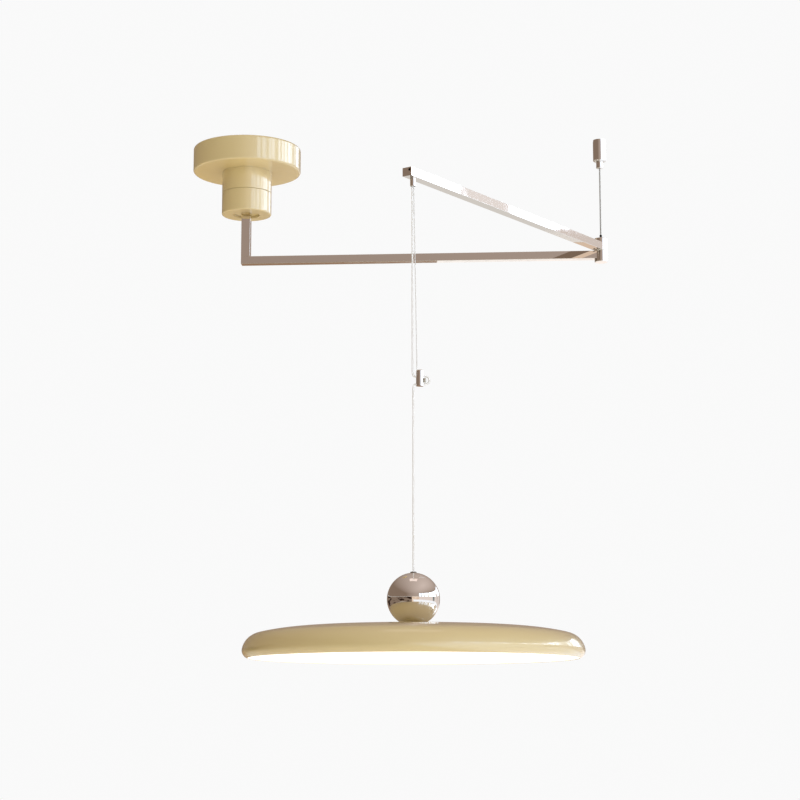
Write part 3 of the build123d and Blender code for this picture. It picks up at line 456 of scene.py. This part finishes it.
def coil(centre, radius, wire, bottom, top, turns, rows, sides):
    """A coil spring: a circle of the wire's radius carried along a helix that rises evenly."""
    turn = np.linspace(0, 2 * pi * turns, rows)
    out = np.column_stack([np.cos(turn), np.sin(turn), np.zeros(rows)])
    path = out * radius + np.column_stack([
        np.full(rows, centre[0]), np.full(rows, centre[1]),
        np.linspace(bottom + wire, top - wire, rows),
    ])
    ahead = np.gradient(path, axis=0)
    ahead /= np.linalg.norm(ahead, axis=1, keepdims=True)
    up = np.cross(out, ahead)
    angle = np.linspace(0, 2 * pi, sides, endpoint=False)[None, :, None]
    return path[:, None] + wire * (np.cos(angle) * out[:, None] + np.sin(angle) * up[:, None])


class PendantSizes(bpy.types.PropertyGroup):
    """Sizes of the pieces that are made here."""
    cord: FloatProperty(
        name="Cord diameter", description="Outside of the white cord's sheath",
        default=2.4 * MM, precision=4, unit="LENGTH")
    hanger: FloatProperty(
        name="Hanger wire diameter",
        description="Wire beside the cord, from the arm to the adjuster",
        default=1.2 * MM, precision=4, unit="LENGTH")
    support: FloatProperty(
        name="Support wire diameter", description="Wire from the elbow up to the ceiling gripper",
        default=2.2 * MM, precision=4, unit="LENGTH")
    lead: FloatProperty(
        name="Lead diameter", description="Sheathed lead inside the arms",
        default=3.6 * MM, precision=4, unit="LENGTH")
    lay: FloatProperty(
        name="Lay of the wires", description="Length in which a wire's strands go once round",
        default=11 * MM, precision=4, unit="LENGTH")
    knob_ribs: IntProperty(
        name="Knob ribs", description="Ribs round the adjuster's clamp knob",
        default=24, min=6)
    spring_turns: IntProperty(
        name="Spring turns", description="Turns of the spring in the ceiling gripper",
        default=5, min=2)


class PendantColours(bpy.types.PropertyGroup):
    """Colours of the finishes."""
    lacquer: FloatVectorProperty(
        name="Lacquer", description="Cream lacquer of the canopy and the shade",
        subtype="COLOR", default=linear("#DAC58A"))
    lacquer_deep: FloatVectorProperty(
        name="Lacquer, deeper", description="Where the lacquer lies a little thicker",
        subtype="COLOR", default=linear("#D5BF82"))
    chrome: FloatVectorProperty(
        name="Chrome", description="Chrome plate of the arms, the fittings and the ball",
        subtype="COLOR", default=linear("#ECE8E3"))
    opal: FloatVectorProperty(
        name="Opal acrylic", description="The diffuser with its lamp off",
        subtype="COLOR", default=linear("#F4F1EA"))
    warm_light: FloatVectorProperty(
        name="Light at the rim", description="Lamp light towards the diffuser's rim",
        subtype="COLOR", default=linear("#FFF8EC"))
    glow: FloatProperty(
        name="Glow", description="How brightly the diffuser shines; 1 is white",
        default=1.0, min=0.0)


class PendantStudio(bpy.types.PropertyGroup):
    """The studio round the light."""
    lens: FloatProperty(
        name="Lens", description="Focal length in millimetres on a 36 mm sensor", default=90.47)
    camera_place: FloatVectorProperty(
        name="Camera", description="Where the camera stands",
        subtype="TRANSLATION", unit="LENGTH", default=(0.4583, -3.0887, -0.9334))
    camera_tilt: FloatProperty(
        name="Tilt", description="How far the camera looks up",
        unit="ROTATION", default=radians(9.534))
    camera_turn: FloatProperty(
        name="Turn", description="How far the camera looks to the left",
        unit="ROTATION", default=radians(3.946))
    background: FloatProperty(
        name="Background", description="Brightness of the backdrop; 1 is white", default=0.952)
    ambient: FloatProperty(
        name="Ambient light", description="Soft light from all round", default=0.57)
    key: FloatProperty(
        name="Key light", description="Soft lamp in front, on the right",
        unit="POWER", default=116.0)
    bounce: FloatProperty(
        name="Bounce light", description="Soft light from the floor", unit="POWER", default=22.0)
    overhead: FloatProperty(
        name="Overhead light", description="Soft light from above", unit="POWER", default=4.0)
    fill: FloatProperty(
        name="Fill light", description="Soft light from behind", unit="POWER", default=60.0)
    aim: FloatVectorProperty(
        name="Aim", description="Point that the lamps face",
        subtype="TRANSLATION", unit="LENGTH", default=(0.3, -0.2, -0.4))
    floor: FloatProperty(
        name="Floor", description="Height of the floor below the ceiling",
        unit="LENGTH", default=-2.4)


def sizes():
    """The sizes that the panel shows."""
    return bpy.context.scene.pendant_sizes


def colours():
    """The colours that the panel shows."""
    return bpy.context.scene.pendant_colours


class PENDANT_OT_lacquered_shells(bpy.types.Operator):
    """Lacquer the canopy, the neck, the collar and the shade"""
    bl_idname = "pendant.lacquered_shells"
    bl_label = "Lacquered shells"

    def execute(self, context):
        dress(gloss_lacquer(colours()), *LACQUERED)
        return {"FINISHED"}


class PENDANT_OT_chromed_parts(bpy.types.Operator):
    """Chrome the arms, the elbow, the gripper, the adjuster and the ball"""
    bl_idname = "pendant.chromed_parts"
    bl_label = "Chromed parts"

    def execute(self, context):
        dress(polished_chrome(colours()), *CHROMED)
        return {"FINISHED"}


class PENDANT_OT_screws(bpy.types.Operator):
    """Blacken the socket screws and the wire's ferrule"""
    bl_idname = "pendant.screws"
    bl_label = "Screws and ferrule"

    def execute(self, context):
        dress(worked_metal("Blackened steel", "#2B2927", "#45413D", 0.4, 0.4), *BLACKENED)
        return {"FINISHED"}


class PENDANT_OT_inner_fittings(bpy.types.Operator):
    """Finish the plate, the swivel, the driver, the lamp tray and the other inner fittings"""
    bl_idname = "pendant.inner_fittings"
    bl_label = "Inner fittings"

    def execute(self, context):
        dress(worked_metal("Zinc-plated steel", "#A9ACB0", "#C3C4C2", 0.36, 0.5), *ZINC_PLATED)
        dress(worked_metal("Turned brass", "#C29C50", "#D3B46C", 0.28, 0.4), *BRASS)
        dress(worked_metal("Rolled aluminium sheet", "#C2C4C6", "#D2D3D4", 0.34, 0.6), "led_tray")
        dress(moulded_plastic("Natural nylon", "#E6E0D0", "#DDD5C2", 0.42, 0.8), *NYLON)
        dress(moulded_plastic("Smoke-grey nylon", "#7B7066", "#70655C", 0.34, 0.8), "ball_bush")
        dress(moulded_plastic("White polycarbonate", "#E9E9E5", "#DFDFDA", 0.5, 0.7), "driver_case")
        dress(moulded_plastic("White solder mask", "#F0F0EC", "#E6E7E2", 0.35, 0.9), "led_board")
        phosphor = moulded_plastic("Yellow phosphor", "#F2D263", "#E9C24A", 0.5, 0.3, glow=0.8)
        dress(phosphor, "led_chips")
        dress(closed_cell_foam(), "ceiling_gasket")
        return {"FINISHED"}


class PENDANT_OT_pendant_cord(bpy.types.Operator):
    """Hang the white cord from the arm, through the adjuster and its loop, down to the ball"""
    bl_idname = "pendant.pendant_cord"
    bl_label = "Pendant cord"

    def execute(self, context):
        sheath = moulded_plastic("White PVC sheath", "#F5F5F4", "#EFEFEE", 0.5, 2.0)
        # The cord leaves the nipple, bends into the adjuster's upper hole, loops round beside it,
        # comes back through the lower hole and bends down onto the pendant's axis
        drop = on_axis(PENDANT_AXIS, [
            (-0.9, -187.5), (-0.9, -440.9), (-0.9, -455.3), (7.0, -455.3), (21.7, -455.3),
            (21.7, -465.7), (7.0, -465.7), (0.0, -465.7), (0.0, -480.1), (0.0, -483.0),
        ])
        upper = sheathed_cord("pendant_cord_upper", drop, sizes().cord, sheath)
        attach(upper, "pendant")
        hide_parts("upper_cord", "cord_loop")
        # Below the adjuster the cord hangs straight into the ball; it shortens as the lamp rises
        run = on_axis(PENDANT_AXIS, [(0.0, -483.0), (0.0, -497.4), (0.0, -735.1)])
        path = route_line(route_curve("lower_route", run, DROP_STEPS))
        outline = round_profile(path, sizes().cord / 2, CORD_SIDES)
        lower = surface("pendant_cord_lower", sweep(path, outline), sheath)
        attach(lower, "pendant")
        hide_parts("lower_cord")
        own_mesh(lower)
        return {"FINISHED"}


class PENDANT_OT_coated_wires(bpy.types.Operator):
    """Lay up the coated strands: the elbow's support wire and the hanger wire beside the cord"""
    bl_idname = "pendant.coated_wires"
    bl_label = "Coated wires"

    def execute(self, context):
        grey = moulded_plastic("Grey-coated wire", "#A4A4A2", "#9C9C9A", 0.5, 0.8)
        pale = moulded_plastic("White-coated wire", "#E2E2E0", "#DCDCDA", 0.5, 2.0)
        # One point of each route lies six diameters from the fitting that the wire goes into
        support = on_axis(ELBOW_AXIS, [(0.0, -11.9), (0.0, -140.9), (0.0, -154.1)])
        hanger = on_axis(PENDANT_AXIS, [(1.0, -187.5), (5.085, -442.6), (5.2, -449.8)])
        for name, node, body, route, diameter, length, finish in (
            ("elbow_support_wire", "support_wire", "first_arm",
             support, sizes().support, 0.1422, grey),
            ("cord_hanger_wire", "hanger_wire", "pendant",
             hanger, sizes().hanger, 0.2623, pale),
        ):
            path = route_line(route_curve(name, route, WIRE_STEPS))
            outline = coated_profile(path, diameter / 2, sizes().lay, WIRE_SIDES)
            wire = surface(name, sweep(path, outline), finish)
            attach(wire, body)
            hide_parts(node)
        return {"FINISHED"}


class PENDANT_OT_arm_leads(bpy.types.Operator):
    """Run the sheathed leads through the swivel and the two arms"""
    bl_idname = "pendant.arm_leads"
    bl_label = "Leads in the arms"

    def execute(self, context):
        sheath = moulded_plastic("Grey PVC lead sheath", "#D2D2CE", "#C4C4C0", 0.45, 0.8)
        # The second arm's lead lies level in the tube, and bends up from the elbow's axis and down
        # onto the pendant's
        back = np.subtract(PENDANT_AXIS, ELBOW_AXIS)
        back /= np.hypot(*back)
        elbow_bend, nipple_bend, level = 6.4 * MM, 12.5 * MM, -0.1738
        near_elbow = np.array(ELBOW_AXIS) + elbow_bend * back
        near_nipple = np.array(PENDANT_AXIS) - nipple_bend * back
        # The canopy's lead starts at the terminals, beside the axis
        swivel = on_axis((0.0, 0.0), [(0.0, -22.2), (0.0, -22.2), (0.0, -46.2), (0.0, -96.0)])
        swivel[0, 1] = 24 * MM
        first = on_axis((0.0, 0.0), [
            (0.0, -96.2), (0.0, -165.2), (0.0, -186.8), (21.6, -186.8), (555.2, -186.8),
            (561.6, -186.8), (561.6, -180.4),
        ])
        second = np.array([
            (*ELBOW_AXIS, -0.1802), (*ELBOW_AXIS, level), (*near_elbow, level),
            (*near_nipple, level), (*PENDANT_AXIS, level), (*PENDANT_AXIS, -0.1863),
        ])
        for node, body, route, length in (
            ("swivel_lead", "ceiling_mount", swivel, 0.0952),
            ("first_arm_lead", "first_arm", first, 0.6534),
            ("second_arm_lead", "second_arm", second, 0.5261),
        ):
            lead = sheathed_cord(node + "_sheath", route, sizes().lead, sheath)
            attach(lead, body)
            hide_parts(node)
        return {"FINISHED"}


class PENDANT_OT_clamp_knob(bpy.types.Operator):
    """Turn the ribbed knob that clamps the cord in the adjuster"""
    bl_idname = "pendant.clamp_knob"
    bl_label = "Clamp knob"

    def execute(self, context):
        low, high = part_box("clamp_screw")
        length = (high.x - low.x) / MM
        seat = 2.5
        # Shank, collar, ribbed rim and dished end, as rows of radius, place along the screw and
        # depth of the ribs
        profile = [
            (1.5, 0.0, 0), (1.5, seat, 0), (2.7, seat + 0.02, 0), (2.95, seat + 0.3, 0),
            (3.0, seat + 0.4, 0.25), (3.0, length - 0.7, 0.25), (2.9, length - 0.5, 0),
            (2.5, length, 0), (1.9, length, 0), (1.6, length - 0.35, 0), (0.3, length - 0.4, 0),
        ]
        centre = (low.x, (low.y + high.y) / 2, (low.z + high.z) / 2)
        steel = worked_metal("Nickelled knob steel", "#D2D2CA", "#E0E0D9", 0.5, 0.3)
        ribs = sizes().knob_ribs
        grid = turned(profile, centre, axis=0, sides=RIB_SIDES * ribs, ribs=ribs)
        knob = surface("clamp_knob", grid, steel)
        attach(knob, "clamp")
        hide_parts("clamp_screw")
        return {"FINISHED"}


class PENDANT_OT_gripper_spring(bpy.types.Operator):
    """Wind the spring that holds the gripper's plunger down"""
    bl_idname = "pendant.gripper_spring"
    bl_label = "Gripper spring"

    def execute(self, context):
        low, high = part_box("gripper_spring")
        wire, turns = 0.42 * MM, sizes().spring_turns
        grid = coil(ELBOW_AXIS, (high.x - low.x) / 2 - wire, wire, low.z, high.z,
                    turns, TURN_STEPS * turns, SPRING_SIDES)
        steel = worked_metal("Spring steel", "#9C9DA0", "#B4B4B4", 0.3, 0.3)
        spring = surface("gripper_coil_spring", grid, steel)
        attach(spring, "first_arm")
        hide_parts("gripper_spring")
        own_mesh(spring)
        return {"FINISHED"}


class PENDANT_OT_diffuser(bpy.types.Operator):
    """Set the lit opal disc into the shade's lip"""
    bl_idname = "pendant.diffuser"
    bl_label = "Diffuser"

    def execute(self, context):
        low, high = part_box("diffuser")
        radius, thick = (high.x - low.x) / 2 / MM, (high.z - low.z) / MM
        middle, eased, corner = 2.0, 0.6, 0.18
        # Lower face from its middle to its eased edge, as radius and height of each row; the upper
        # face is its mirror image
        face = [
            (middle, 0.0), (radius / 2, 0.0), (radius - eased, 0.0), (radius - corner, corner),
            (radius, eased),
        ]
        profile = [(out, up, 0) for out, up in face]
        profile += [(out, thick - up, 0) for out, up in reversed(face)]
        centre = (*PENDANT_AXIS, low.z)
        grid = turned(profile, centre, axis=2, sides=DISC_SIDES)
        disc = surface("opal_diffuser_disc", grid, lit_opal(colours(), centre))
        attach(disc, "lamp_head")
        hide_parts("diffuser")
        return {"FINISHED"}


def studio_surface(name, grid, finish, reflection_only):
    """An open sheet of the studio, from a grid of points. A reflection card is seen in the metal
    and the lacquer only, and neither lights nor shades the object."""
    rows, columns = grid.shape[:2]
    index = np.arange(rows * columns).reshape(rows, columns)
    quads = np.stack([index[:-1, :-1], index[:-1, 1:], index[1:, 1:], index[1:, :-1]], axis=-1)
    mesh = bpy.data.meshes.new(name)
    mesh.from_pydata(grid.reshape(-1, 3).tolist(), [], quads.reshape(-1, 4).tolist())
    mesh.materials.append(finish)
    sheet = bpy.data.objects.new(name, mesh)
    bpy.context.scene.collection.objects.link(sheet)
    if reflection_only:
        sheet.visible_camera = sheet.visible_diffuse = sheet.visible_shadow = False
        sheet.visible_transmission = sheet.visible_volume_scatter = False


def level_sheet(left, right, front, back, height):
    """The four corners of a level rectangle."""
    return np.array([
        [(left, front, height), (right, front, height)],
        [(left, back, height), (right, back, height)],
    ])


def wall_band(start, stop, low, high):
    """A band of the room's round wall: each point lies at the wall's radius in a direction, given
    in degrees from the camera's side towards the right, and at one of two heights."""
    turn = np.radians(np.linspace(start, stop, round(stop - start) + 1))
    ring = WALL * np.column_stack([np.sin(turn), -np.cos(turn)])
    heights = np.empty((2, len(turn), 1))
    heights[0], heights[1] = low, high
    return np.concatenate([np.broadcast_to(ring, (2, *ring.shape)), heights], axis=-1)


def start_glow(name):
    """A new material that only shines: itself, its tree, its emission and Object coordinates."""
    finish = bpy.data.materials.new(name)
    finish.use_nodes = True
    tree = finish.node_tree
    tree.nodes.clear()
    glow = add_node(tree, "ShaderNodeEmission", {"Strength": CARD_LEVEL})
    add_node(tree, "ShaderNodeOutputMaterial", {"Surface": glow.outputs["Emission"]})
    place = add_node(tree, "ShaderNodeTexCoord").outputs["Object"]
    return finish, tree, glow, place


def blotched_card(
        name, dark, light, spacing, edges, strength, spot=(0, 0, 0), reach=1.0, faded=None):
    """A card that shines in soft blotches between two colours, spaced in metres along each axis. It
    may fade evenly from one strength to another with the distance from a spot."""
    finish, tree, glow, place = start_glow(name)
    spread = add_node(tree, "ShaderNodeMapping", {
        "Vector": place, "Scale": [1 / metres for metres in spacing],
    })
    blotch = add_node(tree, "ShaderNodeTexNoise", {
        "Vector": spread.outputs["Vector"], "Scale": 1.0, "Detail": 1.0,
    })
    share = add_node(tree, "ShaderNodeMapRange", {
        "Value": blotch.outputs["Fac"], "From Min": edges[0], "From Max": edges[1],
    })
    tint = add_node(tree, "ShaderNodeMix", {
        "Factor": share.outputs["Result"], 6: rgba(linear(dark)), 7: rgba(linear(light)),
    }, data_type="RGBA")
    tree.links.new(tint.outputs[2], glow.inputs["Color"])
    away = add_node(tree, "ShaderNodeVectorMath", {0: place, 1: spot}, operation="DISTANCE")
    faded = strength if faded is None else faded
    fade = add_node(tree, "ShaderNodeMapRange", {
        "Value": away.outputs["Value"], "From Max": reach,
        "To Min": CARD_LEVEL * strength, "To Max": CARD_LEVEL * faded,
    })
    tree.links.new(fade.outputs["Result"], glow.inputs["Strength"])
    return finish


def shaded_card(name, near, far, spot, stretch, first, last):
    """A card whose colour changes evenly with the distance from a spot, stretched along each
    axis, between a first and a last distance in metres."""
    finish, tree, glow, place = start_glow(name)
    shift = [-c * k for c, k in zip(spot, stretch)]
    away = add_node(tree, "ShaderNodeMapping", {
        "Vector": place, "Location": shift, "Scale": stretch,
    })
    distance = add_node(tree, "ShaderNodeVectorMath", {
        0: away.outputs["Vector"],
    }, operation="LENGTH")
    share = add_node(tree, "ShaderNodeMapRange", {
        "Value": distance.outputs["Value"], "From Min": first, "From Max": last,
    })
    tint = add_node(tree, "ShaderNodeMix", {
        "Factor": share.outputs["Result"], 6: rgba(linear(near)), 7: rgba(linear(far)),
    }, data_type="RGBA")
    tree.links.new(tint.outputs[2], glow.inputs["Color"])
    return finish


class PENDANT_OT_studio(bpy.types.Operator):
    """Set up the camera, the soft light, the floor and the cards that the metal reflects"""
    bl_idname = "pendant.studio"
    bl_label = "Studio"

    def execute(self, context):
        studio = context.scene.pendant_studio
        context.scene.view_settings.view_transform = "Standard"
        self.set_camera(context.scene, studio)
        self.set_world(context.scene, studio)
        self.set_lamps(context.scene, studio)
        self.set_floor(studio)
        self.set_cards()
        return {"FINISHED"}

    def set_camera(self, scene, studio):
        """The camera, in front of the light and below it, looking up and a little to the left."""
        data = bpy.data.cameras.new("studio_camera")
        data.lens = studio.lens
        data.sensor_width = SENSOR
        camera = bpy.data.objects.new("studio_camera", data)
        camera.location = studio.camera_place
        camera.rotation_euler = (pi / 2 + studio.camera_tilt, 0.0, studio.camera_turn)
        scene.collection.objects.link(camera)
        scene.camera = camera

    def set_world(self, scene, studio):
        """Even soft light, a little warm. The camera, the metal and clear plastics see the white
        backdrop instead."""
        world = bpy.data.worlds.new("studio_world")
        world.use_nodes = True
        tree = world.node_tree
        tree.nodes.clear()
        ray = add_node(tree, "ShaderNodeLightPath").outputs
        seen = add_node(tree, "ShaderNodeMath", {
            0: ray["Is Camera Ray"], 1: ray["Is Glossy Ray"]}, operation="MAXIMUM")
        seen = add_node(tree, "ShaderNodeMath", {
            0: seen.outputs[0], 1: ray["Is Transmission Ray"]}, operation="MAXIMUM")
        soft = add_node(tree, "ShaderNodeBackground", {
            "Color": rgba(linear("#FFF3DF")), "Strength": studio.ambient})
        white = add_node(tree, "ShaderNodeBackground", {
            "Color": (1, 1, 1, 1), "Strength": studio.background})
        mix = add_node(tree, "ShaderNodeMixShader", {
            0: seen.outputs[0], 1: soft.outputs[0], 2: white.outputs[0]})
        add_node(tree, "ShaderNodeOutputWorld", {"Surface": mix.outputs[0]})
        scene.world = world

    def set_lamps(self, scene, studio):
        """A large soft lamp in front, a weaker one behind and a faint one overhead, all a little
        blue, and a warm one low down. The metal and the lacquer's gloss show the cards instead."""
        for name, power, colour, side, place in (
            ("key_softbox", studio.key, "#E0ECFF", 4.6, (3.7, -5.8, -0.6)),
            ("floor_bounce", studio.bounce, "#FFEFD8", 3.0, (0.3, 0.0, -2.3)),
            ("ceiling_bounce", studio.overhead, "#F1F6FF", 3.0, (0.3, -0.3, 1.6)),
            ("back_fill", studio.fill, "#F1F6FF", 4.6, (-2.6, 6.0, 0.4)),
        ):
            data = bpy.data.lights.new(name, "AREA")
            data.size = side
            data.energy = power
            data.spread = LAMP_SPREAD
            data.color = linear(colour)
            lamp = bpy.data.objects.new(name, data)
            lamp.location = place
            ahead = Vector(studio.aim) - Vector(place)
            lamp.rotation_euler = ahead.to_track_quat("-Z", "Y").to_euler()
            lamp.visible_camera = lamp.visible_glossy = False
            scene.collection.objects.link(lamp)

    def set_floor(self, studio):
        """Pale painted floor, far below, in faint blotches 400 mm apart. For the camera it is
        lifted towards the backdrop's white, which it becomes with the distance from the light, so
        that no edge shows; the metal sees the plain paint. From below it is clear, because a
        hanging light is looked at from there."""
        finish, tree, shader, place = start_finish("Pale painted floor", {"Roughness": 0.7})
        dust = add_node(tree, "ShaderNodeTexNoise", {
            "Vector": place, "Scale": 1 / (400 * MM), "Detail": 3.0,
        })
        tint = add_node(tree, "ShaderNodeMix", {
            "Factor": dust.outputs["Fac"], 6: rgba(linear("#E9E8E5")), 7: rgba(linear("#E4E3E0")),
        }, data_type="RGBA")
        tree.links.new(tint.outputs[2], shader.inputs["Base Color"])
        ray = add_node(tree, "ShaderNodeLightPath").outputs
        lift = add_node(tree, "ShaderNodeMath", {
            0: ray["Is Camera Ray"], 1: FLOOR_LIFT}, operation="MULTIPLY")
        shader.inputs["Emission Color"].default_value = rgba(linear("#F6FAFF"))
        tree.links.new(lift.outputs[0], shader.inputs["Emission Strength"])
        middle = (studio.aim[0], studio.aim[1], studio.floor)
        away = add_node(tree, "ShaderNodeVectorMath", {
            0: place, 1: middle}, operation="DISTANCE")
        far = add_node(tree, "ShaderNodeMapRange", {
            "Value": away.outputs["Value"], "From Min": FLOOR_FADE[0], "From Max": FLOOR_FADE[1],
        }, interpolation_type="SMOOTHSTEP")
        share = add_node(tree, "ShaderNodeMath", {
            0: far.outputs["Result"], 1: ray["Is Camera Ray"]}, operation="MULTIPLY")
        white = add_node(tree, "ShaderNodeEmission", {"Strength": studio.background})
        mix = add_node(tree, "ShaderNodeMixShader", {
            0: share.outputs[0], 1: shader.outputs["BSDF"], 2: white.outputs["Emission"]})
        under = add_node(tree, "ShaderNodeNewGeometry").outputs["Backfacing"]
        clear = add_node(tree, "ShaderNodeBsdfTransparent")
        both = add_node(tree, "ShaderNodeMixShader", {
            0: under, 1: mix.outputs[0], 2: clear.outputs["BSDF"]})
        tree.links.new(both.outputs[0], tree.nodes["Material Output"].inputs["Surface"])
        sheet = level_sheet(-FLOOR_REACH, FLOOR_REACH, -FLOOR_REACH, FLOOR_REACH, studio.floor)
        studio_surface("studio_floor", sheet, finish, reflection_only=False)

    def set_cards(self):
        """A round room for the metal to reflect: warm ceiling, dark wall on the left, and on the
        right bright panes with a pale bar between them, over a sunlit floor. A band of the wall is
        given by its first and last direction and its two heights; the grey one laps over the two
        above it."""
        ceiling = shaded_card("Warm ceiling", "#E8D7CF", "#937F70",
                              (5.9, -2.6, 7), (1.5, 0.8, 1), 0, 26)
        panel = blotched_card("Ceiling panel", "#FFE6DC", "#FFF2EC", (2, 2, 2), (0.3, 0.7), 1.25)
        dark = blotched_card("Dark wall", "#2E1D13", "#927F70", (8, 8, 2.4), (0.41, 0.5), 1.0)
        beige = blotched_card("Beige wall", "#EFD3BC", "#FFEBD9", (4, 4, 3), (0.35, 0.65), 1.1)
        lower = shaded_card("Lower panes", "#7F8C90", "#FFF3EE",
                            (19.6, 3.8, 0.6), (1, 1, 0.5), 0.9, 2.8)
        panes = blotched_card("Bright panes", "#86857F", "#DDEBFF", (2.2, 2.2, 40), (0.38, 0.58),
                              7.6, (18.8, 6.8, 4.6), 24.0, 2.5)
        blush = blotched_card("Blush wall", "#E4D8D2", "#F6ECE7", (3, 3, 3), (0.35, 0.65), 1.05)
        bar = blotched_card("Bar between panes", "#F3E9E6", "#FBF5F3", (3, 3, 3), (0.35, 0.65), 1.1)
        white = blotched_card("White wall", "#FFF2EA", "#FFFBF8", (4, 4, 4), (0.35, 0.65), 1.3)
        brown = blotched_card("Brown wall", "#A5866C", "#B09680", (3, 3, 3), (0.35, 0.65), 1.0)
        grey = shaded_card("Grey wall with a buff end", "#E9E5E0", "#AC8A4E",
                           (4, 19.6, -5.5), (1, 1, 0.2), 5, 7.6)
        sunlit = blotched_card("Sunlit floor", "#E0E5EC", "#F3F7FF", (2, 2, 2), (0.35, 0.65), 1.5)
        for name, grid, finish in (
            ("ceiling_card", level_sheet(-22, 22, -22, 22, WALL_HEAD), ceiling),
            ("panel_card", level_sheet(-1.2, 1.8, -1.5, 0.7, 6.98), panel),
            ("left_low_card", wall_band(-150, -2, WALL_FOOT, WALL_TOP), dark),
            ("left_high_card", wall_band(-150, 29, WALL_SILL, WALL_HEAD), ceiling),
            ("near_low_card", wall_band(-2, 29, WALL_FOOT, WALL_TOP), beige),
            ("right_low_card", wall_band(29, 122, WALL_FOOT, WALL_TOP), lower),
            ("right_high_card", wall_band(29, 113.3, WALL_SILL, WALL_HEAD), panes),
            ("pane_bar_card", wall_band(113.3, 115, WALL_SILL, WALL_HEAD), bar),
            ("right_end_card", wall_band(115, 131, 4.85, WALL_HEAD), panes),
            ("right_rail_card", wall_band(115, 131, WALL_SILL, 4.85), blush),
            ("far_pane_card", wall_band(131, 156, WALL_SILL, 6.4), panes),
            ("far_top_card", wall_band(131, 156, 6.4, WALL_HEAD), ceiling),
            ("far_right_card", wall_band(122, 156, WALL_FOOT, WALL_TOP), blush),
            ("far_high_card", wall_band(156, 210, -1, WALL_HEAD), ceiling),
            ("far_white_card", wall_band(156, 182, -5.3, -1), white),
            ("far_brown_card", wall_band(182, 210, -5.3, -1), brown),
            ("far_grey_card", wall_band(156, 210, WALL_FOOT, -5.0), grey),
            ("sunlit_card", level_sheet(0.9, 19, -19, 8, -2.38), sunlit),
        ):
            studio_surface(name, grid, finish, reflection_only=True)


PIECES = (
    PENDANT_OT_lacquered_shells, PENDANT_OT_chromed_parts, PENDANT_OT_screws,
    PENDANT_OT_inner_fittings, PENDANT_OT_pendant_cord, PENDANT_OT_coated_wires,
    PENDANT_OT_arm_leads, PENDANT_OT_clamp_knob, PENDANT_OT_gripper_spring, PENDANT_OT_diffuser,
    PENDANT_OT_studio,
)


class PENDANT_PT_panel(bpy.types.Panel):
    """The light's pieces, in the order they are made"""
    bl_idname = "PENDANT_PT_panel"
    bl_label = "Swing Arm Pendant"
    bl_space_type = "VIEW_3D"
    bl_region_type = "UI"
    bl_category = "Pendant"

    def draw(self, context):
        for group in GROUPS:
            box = self.layout.box()
            settings = getattr(context.scene, group)
            for name in settings.__annotations__:
                box.prop(settings, name)
        for piece in PIECES:
            self.layout.operator(piece.bl_idname)


GROUPS = {
    "pendant_sizes": PendantSizes,
    "pendant_colours": PendantColours,
    "pendant_studio": PendantStudio,
}


def register():
    """Add the settings, the operators and the panel."""
    for cls in (*GROUPS.values(), *PIECES, PENDANT_PT_panel):
        bpy.utils.register_class(cls)
    for name, group in GROUPS.items():
        setattr(bpy.types.Scene, name, PointerProperty(type=group))


def unregister():
    """Take out what register adds."""
    for name in GROUPS:
        delattr(bpy.types.Scene, name)
    for cls in reversed((*GROUPS.values(), *PIECES, PENDANT_PT_panel)):
        bpy.utils.unregister_class(cls)


def main():
    """Dress the light piece by piece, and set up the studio."""
    register()
    bpy.ops.pendant.lacquered_shells()
    bpy.ops.pendant.chromed_parts()
    bpy.ops.pendant.screws()
    bpy.ops.pendant.inner_fittings()
    bpy.ops.pendant.pendant_cord()
    bpy.ops.pendant.coated_wires()
    bpy.ops.pendant.arm_leads()
    bpy.ops.pendant.clamp_knob()
    bpy.ops.pendant.gripper_spring()
    bpy.ops.pendant.diffuser()
    bpy.ops.pendant.studio()


if __name__ == "__main__":
    main()
